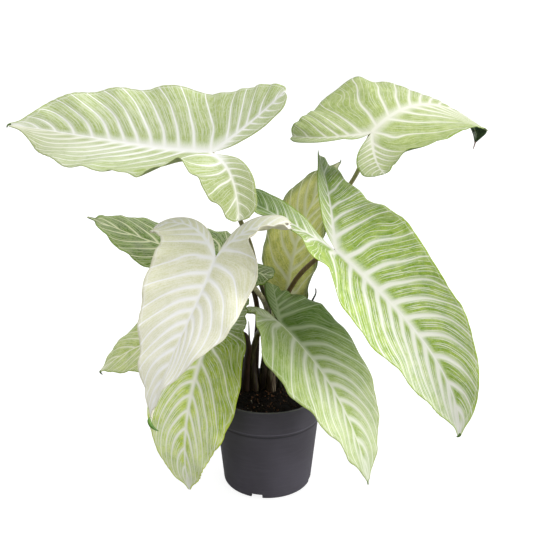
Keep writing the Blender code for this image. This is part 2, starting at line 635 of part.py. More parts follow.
def main():
    clear_scene()
    collection = bpy.data.collections.new("potted_xanthosoma")
    notches = bpy.data.collections.new("pot_cutters")
    holes = bpy.data.collections.new("soil_cutters")
    for group in (collection, notches, holes):
        bpy.context.scene.collection.children.link(group)

    feet = []
    for name, leaf in LEAVES.items():
        make_blade("leaf_" + name, leaf, material("leaf_" + name, COLOURS[name], 0.45), collection)
        path = stalk_path(name)
        radii = np.linspace(1, 0, len(path)) ** 1.3 * (STALK_FOOT_RADIUS - STALK_TOP_RADIUS)
        make_tube("stalk_" + name, path, radii + STALK_TOP_RADIUS,
                  material("stalk_" + name, STALK_COLOURS[name], 0.45), collection)
        feet.append((path[0][0], path[0][1], STALK_FOOT_RADIUS))

    for name, points, radii in (("leaf_rolled", ROLLED_POINTS, ROLLED_RADII),
                                ("spear", SPEAR_POINTS, SPEAR_RADII)):
        lean = Vector(points[-1]) - Vector(points[-2])
        path = follow([Vector(p) * MM for p in points], lean.normalized(), len(radii))
        make_tube(name, path, [r * MM for r in radii], material(name, COLOURS[name], 0.45), collection)
        feet.append((path[0][0], path[0][1], radii[0] * MM))

    make_sheath(collection)
    feet.append((*SHEATH_FOOT, SHEATH_HOLE_RADIUS))
    make_pot(collection, notches)
    make_soil(feet, collection, holes)


main()
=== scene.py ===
"""The look of a potted Xanthosoma lindenii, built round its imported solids.

Metres, +Z up, the origin under the middle of the pot, -Y the front. Colours are written as the
eye sees them, 0 to 255, and turned into light by shade().
"""

import json
import math

import bmesh
import bpy
import numpy as np
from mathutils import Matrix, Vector

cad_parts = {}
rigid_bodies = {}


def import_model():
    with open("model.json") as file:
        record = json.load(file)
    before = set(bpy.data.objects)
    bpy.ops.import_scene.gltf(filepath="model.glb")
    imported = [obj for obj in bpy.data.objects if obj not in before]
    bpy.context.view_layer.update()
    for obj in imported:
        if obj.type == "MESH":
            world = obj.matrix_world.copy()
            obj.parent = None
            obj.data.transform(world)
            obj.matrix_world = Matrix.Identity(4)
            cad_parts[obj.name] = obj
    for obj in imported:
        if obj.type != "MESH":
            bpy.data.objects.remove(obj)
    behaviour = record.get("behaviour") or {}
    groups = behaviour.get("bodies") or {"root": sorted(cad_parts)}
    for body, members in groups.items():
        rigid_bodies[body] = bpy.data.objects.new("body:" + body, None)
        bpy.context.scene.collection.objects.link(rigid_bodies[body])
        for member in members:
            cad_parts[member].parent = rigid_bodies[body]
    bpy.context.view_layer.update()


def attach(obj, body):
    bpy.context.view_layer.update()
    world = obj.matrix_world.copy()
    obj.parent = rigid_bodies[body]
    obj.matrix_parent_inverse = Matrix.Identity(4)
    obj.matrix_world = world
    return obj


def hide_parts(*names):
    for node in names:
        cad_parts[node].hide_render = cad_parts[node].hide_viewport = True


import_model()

MM = 0.001

# Camera: where it stands, how far it looks down, and its lens for a 36 mm wide picture
CAMERA_PLACE = (-0.0012, -0.856, 0.516)
CAMERA_DOWN = math.radians(14.9)
CAMERA_LENS = 48.56

# Blade: the flat outline in units of its length from the hub to the tip. s runs along one half from
# -1 at the tip of the basal lobe through 0 at the hub to 1 at the tip of the blade, and t across it
# from 0 on the rib to 1 on the margin.
LOBE_ANGLE = math.radians(140)
LOBE_COS, LOBE_SIN = math.cos(LOBE_ANGLE), math.sin(LOBE_ANGLE)
LOBE_LENGTH = 0.457
MARGIN_S = (-1.0, -0.90, -0.65, -0.35, 0.0, 0.25, 0.50, 0.70, 0.85, 0.94, 1.0)
MARGIN_U = (LOBE_LENGTH * LOBE_COS, -0.338, -0.262, -0.110, 0.125, 0.390, 0.640, 0.815, 0.915, 0.962, 1.0)
MARGIN_V = (LOBE_LENGTH * LOBE_SIN, 0.325, 0.345, 0.345, 0.325, 0.292, 0.215, 0.130, 0.058, 0.022, 0.007)
LOBE_STRETCH = 1.6          # how soon the margin follows a longer or shorter lobe
INNER_S = (-1.0, -0.985, -0.94, -0.70, -0.40, -0.12, 0.0)
INNER_W = (0.0, 0.026, 0.052, 0.084, 0.073, 0.026, 0.0)
INNER_LEAN = 0.2            # how far the lobe's inner strip leans along it
INNER_TILTED = 1 / 3        # share of the lobe over which that strip comes to its tilt
INNER_SWEEP, INNER_LATE = 0.13, 1.5         # how far and how late its veins sweep
INNER_APART_MM = 150        # how far off it reads the patterns, so that it doesn't repeat them
HALF_WIDTH = 0.33
ROW_START = 84              # degrees at which a vein leaves the rib at the hub
ROW_START_TIP, ROW_START_LOBE = 16, 26      # degrees less at the blade's tip, more at the lobe's
ROW_REACH = 0.45            # share of its length over which it bends
LOBE_ROWS = 62
BLADE_ROWS = 190
COLUMNS = np.linspace(0, 1, 27)
INNER_COLUMNS = np.linspace(0, 1, 8)
RIB_STEPS = 81

# Thickness of the sheet, and how far the midrib and the veins stand out under it
SHEET = 0.9 * MM
EDGE_THICK = 0.55 * MM
EDGE_REACH_MM = 4.0
MIDRIB_THICK = 2.4 * MM
MIDRIB_ROUND = 1.6 * MM
MIDRIB_TAPER = 0.55
VEIN_THICK = 0.35 * MM
VEIN_ROUND_MM = 0.9

# Relief: slow waves and small crinkles along the margin, and a rise between the veins
WAVE_COUNT = 4.5            # from the hub to the tip
CRINKLE = 0.35 * MM
CRINKLE_RATE = 2.3          # crinkles to a wave
PUFF = 1.1 * MM             # how far the blade stands up between its veins
PUFF_CELL = 14.0            # veins this far apart in mm have the whole of it
SLIM_SHARE = 0.15           # a half narrower than this, as a share of the blade's length, lies flatter
LOBE_CUP_FROM, LOBE_CUP_OVER = 0.15, 0.55   # where the blade's cup starts to turn into the lobe's
DOME_PLACE, DOME_REACH = -0.08, 0.15        # middle and reach of the dome beside the hub, in s
LOBE_VEINS = 6.0            # main veins along each basal lobe
INNER_VEINS = 1.6           # veins on the lobe's inner strip to each of those
VEIN_DRIFT = 0.22           # how unevenly the veins are spaced
VEIN_NUMBERS = {1: 40.0, -1: 80.0, "inner": 20.0}   # where each part starts to count, so that none match
SIDES = {"left": 1, "right": -1}

# Each leaf: hub in mm, blade length in mm, and its pose in degrees. heading (0 to the right, 90 away
# from the front), pitch and roll are at the hub, followed by their change along the blade.
# For each half: its width, fold up from the midrib, cup across it, the lobe's length, cup, lift, turn
# and splay, the tilt and width of its inner strip, the wave of its margin in mm and where that starts,
# then its dome and its scallops in mm.
USUAL_HALF = dict(width=1.0, lobe_cup=-12, lift=0, turn=0, splay=0, inner=10, strip=1.0, wave=2.0,
                  dome=0.0, scallop=0.6)
LEAVES = {
    "top_left": dict(
        hub=(-64, -33, 431), length=240, width=1.09,
        heading=(156, 41), pitch=(1, 17, -9), roll=(-43, -32),
        left=dict(width=1.07, fold=28, cup=8, lobe=1.11, lobe_cup=48, lift=-45, turn=-24, splay=-26,
                  inner=25, wave=3.0, phase=138, dome=11.0),
        right=dict(fold=26, cup=-31, lobe=0.98, lobe_cup=-44, lift=4, turn=-1, splay=-7, inner=22,
                   wave=2.3, phase=169)),
    "top_right": dict(
        hub=(123, 4, 451), length=231, width=1.0,
        heading=(34, 5), pitch=(40, -106, 46), roll=(44, -23),
        left=dict(width=1.25, fold=-2, cup=-29, lobe=0.91, lobe_cup=-51, lift=-17, turn=-21, splay=-30,
                  inner=56, wave=1.7, phase=-141),
        right=dict(fold=-4, cup=24, lobe=0.63, lobe_cup=121, lift=43, turn=-9, splay=-17, inner=7,
                   strip=1.5, wave=0.6, phase=91)),
    "right": dict(
        hub=(82, -14, 312), length=267, width=1.02,
        heading=(-36, 1), pitch=(-33, -8, -49), roll=(9, 58),
        left=dict(width=0.92, fold=30, cup=53, lobe=1.2, lobe_cup=-36, lift=-9, turn=52, splay=8,
                  inner=35, wave=2.3, phase=41),
        right=dict(fold=23, cup=-5, lobe=1.09, lobe_cup=27, lift=-10, turn=6, splay=13, inner=35,
                   wave=2.3, phase=72)),
    "front_white": dict(
        hub=(-57, -93, 323), length=191, width=1.02,
        heading=(-115, -36), pitch=(-48, -7, -22), roll=(5, 17),
        left=dict(width=1.02, fold=21, cup=-42, lobe=1.09, lobe_cup=55, lift=-55, turn=-4, splay=-41,
                  inner=0, phase=57),
        right=dict(fold=19, cup=31, lobe=1.15, lobe_cup=10, lift=-18, turn=-25, splay=-82, inner=-17,
                   strip=0.8, wave=2.1, phase=167)),
    "front_left": dict(
        hub=(-67, -38, 217), length=204, width=1.06,
        heading=(-126, 8), pitch=(-50, -43, -16), roll=(7, -19),
        left=dict(width=1.03, fold=12, cup=-21, lobe=0.67, lobe_cup=14, turn=-1, wave=1.9, phase=37,
                  scallop=2.0),
        right=dict(fold=10, cup=-9, lobe=1.0, phase=95)),
    "front_right": dict(
        hub=(15, -46, 231), length=215, width=1.06,
        heading=(-35, -12), pitch=(-32, -35, -8), roll=(-3, -4),
        left=dict(width=1.03, fold=14, cup=-2, lobe=0.68, lobe_cup=-7, lift=-8, turn=14, inner=12,
                  wave=1.9, phase=-102),
        right=dict(fold=15, cup=-29, lobe=0.46, lobe_cup=21, lift=-32, turn=-5, splay=-3, inner=9,
                   wave=2.1, phase=191)),
    "upright": dict(
        hub=(28, 75, 233), length=195, width=1.0,
        heading=(34, 1), pitch=(85, -39, -10), roll=(-2, 20),
        left=dict(width=1.02, fold=12, cup=-11, lobe=0.6, lobe_cup=-15, wave=1.9, phase=-23),
        right=dict(fold=12, cup=-7, lobe=0.5, lobe_cup=-10, phase=81)),
    "back_left": dict(
        hub=(-58, 36, 291), length=175, width=1.04,
        heading=(188, 7), pitch=(8, 29, -11), roll=(-30, 4),
        left=dict(width=1.03, fold=9, cup=-17, lobe=0.99, lobe_cup=-25, lift=25, splay=2, inner=20,
                  phase=-57),
        right=dict(fold=5, cup=-17, lobe=0.58, phase=83)),
    "low_left": dict(
        hub=(-81, 20, 198), length=164, width=1.02,
        heading=(175, -9), pitch=(-7, -34, -3), roll=(-37, 0),
        left=dict(width=1.01, fold=6, cup=-14, lobe=0.62, phase=-15),
        right=dict(fold=5, cup=-16, lobe=0.85, wave=1.9, phase=130)),
}

# How far the margin of each half stands out from the common outline, as (s, mm) pairs, and which
# way: lean is 0 in the plane of the blade, 90 straight up from it
RUFFLES = {
    "top_left": dict(
        left=(-58, ((-0.85, -2.5), (-0.75, -2), (-0.6, 2), (-0.49, 3.5), (-0.41, 0), (-0.36, 1.5),
                    (-0.27, -2), (-0.2, -2), (-0.1, 2), (-0.02, 8), (0.05, 3), (0.12, -3.5),
                    (0.18, -2.5), (0.25, -5.5), (0.31, -5.5), (0.37, -3.5), (0.49, 0), (0.6, 3), (0.7, 3),
                    (0.8, 0.5), (0.88, -2))),
        right=(47, ((-0.95, -4), (-0.86, -5), (-0.75, -3), (-0.6, -0.5), (-0.45, 0), (-0.13, -1),
                    (0.03, -1.5), (0.15, 4.5), (0.21, 2.5), (0.3, -4.5), (0.38, 0), (0.43, 1), (0.5, -2.3),
                    (0.6, 3.5), (0.73, 1.6), (0.85, -0.5)))),
    "top_right": dict(
        left=(90, ((-0.6, 0), (-0.33, 2), (-0.08, -3), (0.03, -3), (0.1, 1.5), (0.155, 7), (0.23, 0),
                   (0.31, 0), (0.42, -4), (0.5, -2.5), (0.57, -2.5), (0.8, 0))),
        right=(0, ((0.3, 0), (0.5, 1), (0.8, 2), (0.95, 2.5)))),
    "right": dict(
        left=(-38, ((-0.75, -1), (-0.59, -3), (-0.48, 1), (-0.26, -1), (-0.02, 1.4), (0.08, 2.6),
                    (0.15, 0.5), (0.22, -5), (0.31, -4), (0.37, -2), (0.43, 3.5), (0.48, 4), (0.56, 2),
                    (0.63, 2.7), (0.75, 1.6), (0.93, 1))),
        right=(-45, ((-0.48, 1.4), (-0.3, -1), (-0.15, 3.2), (-0.05, -1), (0.03, -2.5), (0.1, -1),
                     (0.23, 2.7), (0.29, 1.9), (0.37, -1.5), (0.53, -2), (0.7, -1), (0.93, -0.4)))),
    "front_white": dict(
        left=(-35, ((-0.92, -4), (-0.75, -4), (-0.51, -4), (-0.31, 0), (-0.25, -2.5), (-0.11, 1),
                    (0.05, 0.5), (0.13, -4), (0.22, 3.5), (0.31, 5), (0.37, 2), (0.47, 1.4), (0.54, -3),
                    (0.63, -4.5), (0.73, -2), (0.87, 0.4))),
        right=(0, ((-0.5, 0), (-0.21, -5), (-0.02, 0), (0.13, 3), (0.24, 0.8), (0.35, 1.2), (0.5, -0.5),
                   (0.69, 2), (0.77, 0), (0.87, 1)))),
    "front_left": dict(
        left=(-30, ((-0.13, -1.4), (0, -3), (0.12, -1.4), (0.22, 2), (0.3, 4.5), (0.35, 1), (0.4, 0.3),
                    (0.44, 3.5), (0.54, -2), (0.6, -3.2), (0.66, -2.6), (0.74, -1.6), (0.85, 2.3))),
        right=(45, ((0.2, -1), (0.35, 1), (0.47, 0.5), (0.58, 1), (0.68, -1.8), (0.78, 0.6), (0.9, -0.6)))),
    "front_right": dict(
        left=(43, ((-0.39, -1.8), (-0.2, 1.4), (0.08, -2), (0.2, -1), (0.31, -1.2), (0.42, 0.8), (0.53, -1),
                   (0.76, -1.2), (0.91, -1))),
        right=(-42, ((-0.1, -1.5), (-0.02, 0.6), (0.1, 2.4), (0.21, 3.6), (0.3, 1.8), (0.42, 0),
                     (0.56, -2), (0.65, -1.2), (0.77, 0)))),
    "upright": dict(
        left=(48, ((0.06, -1.7), (0.19, 0.6), (0.33, 0), (0.46, 0.8), (0.58, 1.8), (0.69, 1.2), (0.77, 0.8))),
        right=(-55, ((0.06, -1.7), (0.2, 0.5), (0.4, -1), (0.6, 1.5), (0.8, -1)))),
    "back_left": dict(
        left=(-20, ((-0.75, -2.5), (-0.56, 1.5), (0.39, -1.4), (0.46, 1), (0.57, 2), (0.66, 1), (0.75, 2),
                    (0.84, 1))),
        right=(40, ((0.31, -1.2), (0.42, 0), (0.52, 1.8), (0.7, 0), (0.8, 1.5)))),
    "low_left": dict(
        left=(-15, ((0.3, 0.6), (0.5, -0.8), (0.69, 0.8))),
        right=(57, ((0.3, -0.8), (0.48, 0.4), (0.63, -0.5), (0.77, 1.4), (0.89, -0.5)))),
}

# Blades that end in a narrow tail: its share of the blade, its half width in mm and its darkness
TAILS = {"back_left": (0.115, 1.9, 0.55), "front_right": (0.045, 0.8, 0.8), "right": (0.012, 1.0, 0.9)}
TAIL_NARROWING, TAIL_DARKENING = 0.03, 0.02 # shares of the blade over which it turns into the tail

# How each blade is coloured: main veins on its left and right half, how far they sweep forward there
# and how late, the colours of the veins, of the green between them, of its deeper patches, of the
# margin and of the underside, then the half width of a vein in mm and the strength of its halo, of
# the glow along the midrib and its reach in mm, of the thin veins and of the net. Some have more: how
# much of the glow their lobes keep, the reach of the margin's colour in mm, how streaked the green is,
# the colour of its dark places, partly a deeper green and partly painted shade, and how far that veils
# the veins, and brown specks on the lobe's end.
USUAL_LOOK = dict(lobe=0.4, border=6.0, grain=0.3, dark=(100, 128, 50), veil=0.45, specks=0.0)
LOOKS = {
    "top_left": dict(
        veins=(13, 13), sweep=((0.36, 1.2), (0.09, 1.6)), white=(250, 250, 246), green=(186, 200, 134),
        deep=(160, 180, 98), margin=(172, 188, 118), under=(150, 166, 104), vein=1.1, halo=0.45,
        glow=0.95, reach=15, thin=0.5, net=0.25, lobe=0.6, dark=(202, 204, 172), veil=0.65),
    "top_right": dict(
        veins=(12, 10), sweep=((0.20, 1.0), (0.46, 1.0)), white=(232, 233, 216), green=(182, 197, 122),
        deep=(146, 168, 80), margin=(136, 162, 62), under=(70, 96, 44), vein=1.1, halo=0.35, glow=0.8,
        reach=13, thin=0.5, net=0.2, border=9.0),
    "right": dict(
        veins=(10, 12), sweep=((0.10, 1.8), (0.24, 1.1)), white=(255, 255, 246), green=(188, 211, 100),
        deep=(130, 167, 48), margin=(178, 206, 74), under=(150, 174, 96), vein=1.35, halo=0.85,
        glow=0.95, reach=13, thin=0.8, net=0.15, lobe=0.25, veil=0.75),
    "front_white": dict(
        veins=(12, 12), sweep=((0.3, 2.3), (0.17, 1.5)), white=(254, 254, 252), green=(236, 235, 206),
        deep=(220, 221, 178), margin=(226, 224, 198), under=(236, 230, 206), vein=1.35, halo=0.6,
        glow=0.6, reach=8, thin=0.4, net=0.3, lobe=0.8, grain=0.15, specks=0.8),
    "front_left": dict(
        veins=(9, 10), sweep=((0.34, 1.3), (0.3, 1.6)), white=(252, 254, 238), green=(214, 233, 88),
        deep=(160, 192, 46), margin=(206, 224, 78), under=(140, 162, 92), vein=1.15, halo=0.35,
        glow=0.95, reach=8, thin=0.7, net=0.25),
    "front_right": dict(
        veins=(10, 10), sweep=((0.24, 1.8), (0.24, 1.4)), white=(242, 245, 226), green=(196, 213, 132),
        deep=(154, 182, 84), margin=(176, 194, 108), under=(160, 176, 112), vein=1.3, halo=0.7,
        glow=0.75, reach=7, thin=0.55, net=0.2, veil=0.8),
    "upright": dict(
        veins=(8, 8), sweep=((0.25, 1.0), (0.20, 1.0)), white=(244, 246, 200), green=(249, 247, 142),
        deep=(190, 199, 76), margin=(70, 108, 30), under=(150, 160, 92), vein=1.35, halo=0.6, glow=0.85,
        reach=8, thin=0.4, net=0.2, border=13.0),
    "back_left": dict(
        veins=(8, 8), sweep=((0.20, 1.2), (0.20, 1.2)), white=(238, 242, 204), green=(128, 164, 50),
        deep=(56, 94, 10), margin=(126, 156, 52), under=(120, 142, 74), vein=1.2, halo=0.2, glow=0.4,
        reach=4, thin=0.55, net=0.4),
    "low_left": dict(
        veins=(8, 8), sweep=((0.20, 1.2), (0.20, 1.2)), white=(236, 238, 208), green=(198, 214, 110),
        deep=(144, 172, 56), margin=(156, 178, 86), under=(158, 174, 108), vein=1.1, halo=0.25,
        glow=0.4, reach=4, thin=0.65, net=0.45),
}
SPECK_BROWN = (84, 56, 36)

# The pattern of a blade. Each main vein narrows from the rib to the margin, and strays by a share of
# the space between two. Half widths and reaches are in mm, net and streaks are counted between two
# main veins and along one.
VEIN_TAPER = (1.45, 0.5)
VEIN_WANDER, THREAD_DRIFT = 0.42, 1.5
THIN_HALF, THREAD_HALF = 0.6, 0.38
THREADS = 5.0                 # fine veins to each main one
MIDRIB_HALF = (2.4, 0.8)      # at the hub and at the tip
LOBE_RIB = (0.25, 0.9)        # share of that at the lobe's tip and on the blade
NET, NET_STRENGTH = (9.0, 8.0), 0.75
STREAKS = (11.0, 5.0)
BORDER_IN, BORDER_STRENGTH = (2.2, 3.8), 0.45   # the vein that follows the margin
HALO_REACH, HALO_FADE = 6.0, (1.35, 0.2)        # share of its strength at the rib and at the margin
GLOW_FADE, GLOW_NARROWS = 0.5, 0.25             # shares of its strength and of its reach at the tip
PATCH_SHARE, FINE_SHARE = 0.35, 0.65            # of the patches and of all finer grain in the green
UNDER_STRENGTH = 0.75

# Where a blade grows darker, partly a deeper green of its own and partly painted shade: as s where it
# is full, s where it is gone, and its share of each half
DARKER = {
    "top_left": ((1.0, 0.3, 1.0, 0.0), (-0.7, -0.1, 0.75, 0.0)),
    "top_right": ((-1.05, -0.5, 0.45, 0.25), (1.0, 0.68, 0.5, 0.5)),
    "right": ((-0.9, -0.05, 0.75, 0.95), (1.0, 0.0, 0.0, 0.18)),
    "front_right": ((0.0, 0.6, 0.95, 0.5), (1.0, 0.5, 0.35, 0.35)),
    "front_left": ((-0.3, 0.55, 0.85, 0.05),),
    "upright": ((-0.5, 0.35, 0.5, 0.5),),
    "back_left": ((-0.6, 0.5, 0.25, 0.25),),
}

# Stalks: column and row in the crown, the points they pass in mm, and how much of the blade's
# upward and forward direction they take as they arrive
CROWN_X = (-27.5 * MM, -17 * MM, -6 * MM, 5 * MM)
CROWN_Y = (9 * MM, 20 * MM, 31 * MM)
STALK_FOOT_RADIUS = 6.2 * MM
STALK_TOP_RADIUS = 2.9 * MM
STALK_SHEATH = 50 * MM        # height over which the broad foot thins
STALK_ARRIVAL = 22 * MM
STALK_SUNK = 12 * MM
STALK_SIDES = 20
STALK_STEP = 2.5 * MM
STALK_POINTS = 120
FOOT_RISE = 4 * MM            # height over the soil at which a stalk starts to bend
HUB_INSET = 1.2 * MM          # how far under the hub's upper face it ends
STALKS = {
    "top_left": dict(foot=(2, 1), arrive=(0.8, 0.25), via=(
        (-1, 21, 185), (1, 26, 229), (-8, 30, 256), (-15, 30, 282), (-21, 19, 310), (-34, -4, 350))),
    "top_right": dict(foot=(3, 2), arrive=(0.9, 0.2), via=(
        (14, 38, 160), (34, 50, 185), (48, 62, 208), (52, 80, 245), (60, 96, 285), (86, 106, 335),
        (111, 97, 377), (118, 50, 410))),
    "right": dict(foot=(3, 1), arrive=(0.8, 0.5), via=(
        (8, 24, 180), (14, 25, 215), (27, 20, 250), (42, 10, 277))),
    "front_white": dict(foot=(3, 0), arrive=(0.8, 0.3), via=((3, 4, 185), (-2, -9, 240), (-15, -36, 271))),
    "front_left": dict(foot=(0, 0), arrive=(1.0, 0.2), via=(
        (-26, 2, 165), (-24, -5, 186), (-29, -11, 203))),
    "front_right": dict(foot=(1, 0), arrive=(0.8, 0.4), via=((-19, 7, 170), (-12, 0, 200))),
    "upright": dict(foot=(2, 2), arrive=(0.25, 0.95), via=((6, 48, 160), (23, 70, 192))),
    "back_left": dict(foot=(1, 1), arrive=(0.6, 0.7), via=(
        (-14, 14, 185), (-13, 10, 232), (-18, 13, 254))),
    "low_left": dict(foot=(0, 1), arrive=(0.8, 0.4), via=((-33, 24, 155),)),
}

# Colours of each stalk, at its foot and at its top. It has the first up to a height, and the second
# from so far under its end, or from the least height for that if this is higher.
STALK_DARK_TO, STALK_LIGHT_TOP, STALK_LIGHT_LEAST = 0.13, 0.02, 0.24
DARK, BROWN, OLIVE = (46, 32, 22), (84, 60, 38), (120, 118, 60)
STALK_LOOKS = {
    "top_left": (DARK, (166, 160, 108)), "top_right": ((104, 98, 56), (186, 182, 126)),
    "right": ((78, 56, 36), (124, 102, 64)), "front_white": ((62, 44, 32), (214, 206, 168)),
    "front_left": (DARK, BROWN), "front_right": (DARK, OLIVE), "upright": (DARK, OLIVE),
    "back_left": (DARK, BROWN), "low_left": (DARK, OLIVE),
}

# The rolled young leaf and the spear: points in mm, radii in mm, colours at the foot and the top
SHOOTS = {
    "leaf_rolled": (
        ((16, 20, 123), (34, 21, 172), (53, 23, 217), (57.5, 27, 235), (62.5, 30, 246), (62, 30, 251)),
        (3.2, 3.2, 3.4, 3.6, 3.6, 3.4, 2.9, 2.3, 1.7, 1.2, 0.7), ((30, 30, 20), (44, 58, 40))),
    "spear": (
        ((-22.5, 14.5, 123), (-23, 16, 170), (-24, 17, 211)),
        (1.7, 1.6, 1.5, 1.3, 1.0, 0.5), ((92, 108, 40), (140, 156, 70))),
}
SHOOT_POINTS = 60
SHOOT_FADE = (0.12, 0.2)      # heights between which their colour changes

# The dry sheath, a gutter with its foot in the soil
SHEATH_FOOT = (-37.5 * MM, 14.5 * MM)
SHEATH_LENGTH = 54 * MM
SHEATH_SUNK = 15 * MM
SHEATH_WIDTH = 7 * MM
SHEATH_LEAN, SHEATH_UPRIGHT = 4 * MM, 0.3     # how strongly it leans out, past this share of its length
SHEATH_BULGE = (0.22, 0.74)   # where on a half wave its width starts, and how much of it that follows
SHEATH_LEAST = 0.5 * MM       # what its half width has more than that
SHEATH_DEEP = 0.45            # depth of the gutter, to its half width
SHEATH_THICK = 0.64 * MM
SHEATH_GRID = (30, 11)
SHEATH_CREASE = 0.25 * MM
SHEATH_RAG = 0.8 * MM         # how ragged its upper edge is
SHEATH_OCHRE = ((88, 62, 26), (170, 132, 60))

# Curled tips, in mm from the end of the blade (to the right, back and up) with their radii in mm
TIPS = {
    "top_left": (((2.5, 0, 0.6), (0, 0, 0.4), (-1.5, -0.5, -1), (-2.4, -0.5, -3.2)), (0.8, 0.9, 0.9, 0.6)),
    "right": (((1.5, 0, 3), (0.6, -0.4, 0.8), (-1.2, -0.6, -0.6), (-3, -0.8, -1)), (1.4, 1.5, 1.2, 0.6)),
    "front_white": (((1.6, -1, 7), (-0.4, -1.6, 3), (1.4, -2, -2.5), (5, -2, -6.5), (8.5, -1.5, -9)),
                    (0.7, 2.0, 2.1, 1.2, 0.5)),
    "upright": (((-1.5, 0, -1.5), (0.2, 0, 0.2), (1.2, 0, 1.8), (0.6, 0, 3.6)), (0.8, 0.8, 0.7, 0.5)),
    "low_left": (((2, 0, 0.8), (0, -0.4, 0), (1.2, -0.8, -2.2), (3.2, -0.8, -4.4)), (1.0, 1.2, 1.1, 0.5)),
}
TIP_COLOURS = ((52, 74, 30), (104, 138, 52))
WHITE_LEAF_TIP = ((84, 126, 44), (120, 164, 64))
TIP_POINTS = 24
TIP_STEP = 0.8 * MM
TIP_FADE = 4 * MM             # over and under the blade's end, where its colour changes

# The end of the top right blade curls under: its left and right edge in mm from the blade's end,
# to the right and up, then the tail below it
FLAP_LEFT = ((-24.3, 5.0), (-21.3, 0.0), (-18.3, -6.8), (-16.6, -12.9), (-15.6, -17.0))
FLAP_RIGHT = ((0.0, 0.6), (-1.2, -4.6), (-6.0, -9.4), (-10.7, -13.5), (-14.6, -17.0))
FLAP_TAIL = ((-15.1, 0, -15.5), (-15.4, 0, -19), (-16.4, 0, -22.6), (-17.3, 0, -26))
FLAP_TAIL_RADII = (0.9, 0.8, 0.7, 0.4)
FLAP_TAIL_COLOURS = ((128, 84, 66), (168, 108, 92))
FLAP_GREENS, FLAP_EDGE, FLAP_VEIN = ((26, 48, 20), (58, 88, 40)), (86, 110, 72), (150, 170, 120)
FLAP_DEEP = 4 * MM
FLAP_ARCH = 1.8 * MM          # how far its upper edge rises in the middle
FLAP_GRID = (24, 15)

# Pot, from the face it stands on. Its lip is given in mm in from the rim and down from its top.
POT_HEIGHT = 125 * MM
POT_FOOT_RADIUS = 57.5 * MM
POT_FOOT_ROUND = 5 * MM
POT_FOOT_STEPS = (75, 60, 45, 30, 15)
POT_STEP_HEIGHT = 92 * MM
POT_STEP_RADIUS = 66.4 * MM
POT_BAND = 1.5 * MM
POT_RIM_RADIUS = 70 * MM
POT_LIP = ((2.4, 1.5), (2.0, 0), (0.5, 0), (0, 0.8), (0.4, 3.2))
POT_WALL = 1.6 * MM
POT_FLOOR = 9 * MM
POT_FLOOR_CORNER = 4 * MM
POT_BASE = 7.5 * MM          # underside of the raised base, inside the foot ring
POT_EDGE_ROUND = 0.5 * MM
POT_SIDES = 160
NOTCH_WIDTH = 15 * MM
NOTCH_HEIGHT = 6.5 * MM
NOTCH_DEPTH = 10 * MM
NOTCH_COUNT = 4
NOTCH_ANGLE = math.radians(-104)
SHARP_ANGLE = math.radians(32)
PLASTIC, PLASTIC_RINGS = ((74, 71, 79), (81, 78, 87)), (88, 85, 95)

# Painted light on the pot: height, reach, strength and colour of the painted shade under the step,
# of the painted highlight on the edge over it and of the painted highlight on the rim's edge
POT_PAINTED_SHADE_AND_HIGHLIGHTS = ((POT_STEP_HEIGHT - 2.2 * MM, 1.9 * MM, 0.8, (40, 38, 42)),
             (POT_STEP_HEIGHT + 2.0 * MM, 1.1 * MM, 0.5, (128, 124, 136)),
             (POT_HEIGHT - 0.4 * MM, 0.6 * MM, 0.7, (120, 124, 112)))

# Soil: its height at the wall and in the middle, its lumps, and what is strewn over it. Each kind of
# crumb has its number on a square metre, its smallest and largest radius, its flatness and its seed,
# then its two colours, its roughness and the fineness of its grain.
SOIL_EDGE = 116 * MM
SOIL_CROWN = 119.5 * MM
SOIL_SIDES = 120
SOIL_RINGS = 46
SOIL_GAP = 0.4 * MM           # between the soil and the pot's wall
SOIL_LUMPS, SOIL_LUMP_WIDTH = 260, (2, 7)       # how many, and how wide in mm
SOIL_LUMP_PLACE = 68 * MM     # how far from the middle they can lie
SOIL_LUMP_RISE = (-1, 1.3)    # mm
SOIL_LUMP_MOST = 2 * MM
SOIL_LOW = 0.4 * MM           # how far the whole top is lowered under its lumps
SOIL_SEED = 7
PEAT = ((7, 5, 4), (28, 21, 16))
CRUMB_WOBBLE, CRUMB_DENT = 1.3, 2.4             # how often and how deep a crumb is dented
CRUMBS = {
    "soil_crumbs": (dict(Density=130000.0, Smallest=0.35 * MM, Largest=1.5 * MM, Flatness=0.7, Seed=3),
                    ("peat_crumb", (10, 7, 6), (56, 40, 30), 0.9, 500.0)),
    "soil_bark": (dict(Density=16000.0, Smallest=0.9 * MM, Largest=3.0 * MM, Flatness=0.4, Seed=11),
                  ("bark", (30, 19, 13), (124, 86, 58), 0.8, 300.0)),
    "soil_perlite": (dict(Density=2600.0, Smallest=0.4 * MM, Largest=1.0 * MM, Flatness=0.9, Seed=23),
                     ("perlite", (120, 108, 92), (188, 178, 160), 0.9, 400.0)),
}

# Studio: how bright the surroundings are, and the soft suns: where they come from, strength, spread
SKY_LEFT, SKY_RIGHT, SKY_ABOVE = 0.46, 0.52, 0.54
SKY_SEEN = 1.05               # what the camera sees of them
STUDIO_SUNS = (("key", (0.61, -0.61, 0.5), 0.6, 40), ("fill", (-0.61, -0.61, 0.5), 0.3, 40),
               ("side", (0.98, -0.17, 0.14), 1.9, 30))
FLOOR_SHADE, FLOOR_GLOW = 0.30, 0.86
FLOOR_RADIUS, FLOOR_DROP = 14.0, 0.5 * MM
WHITE = (1.0, 1.0, 1.0, 1.0)


# Nodes

def shade(rgb):
    """A colour as the eye sees it, 0 to 255, as the light a shader works with."""
    return tuple(((c / 255 + 0.055) / 1.055) ** 2.4 if c > 10 else c / 255 / 12.92 for c in rgb) + (1.0,)


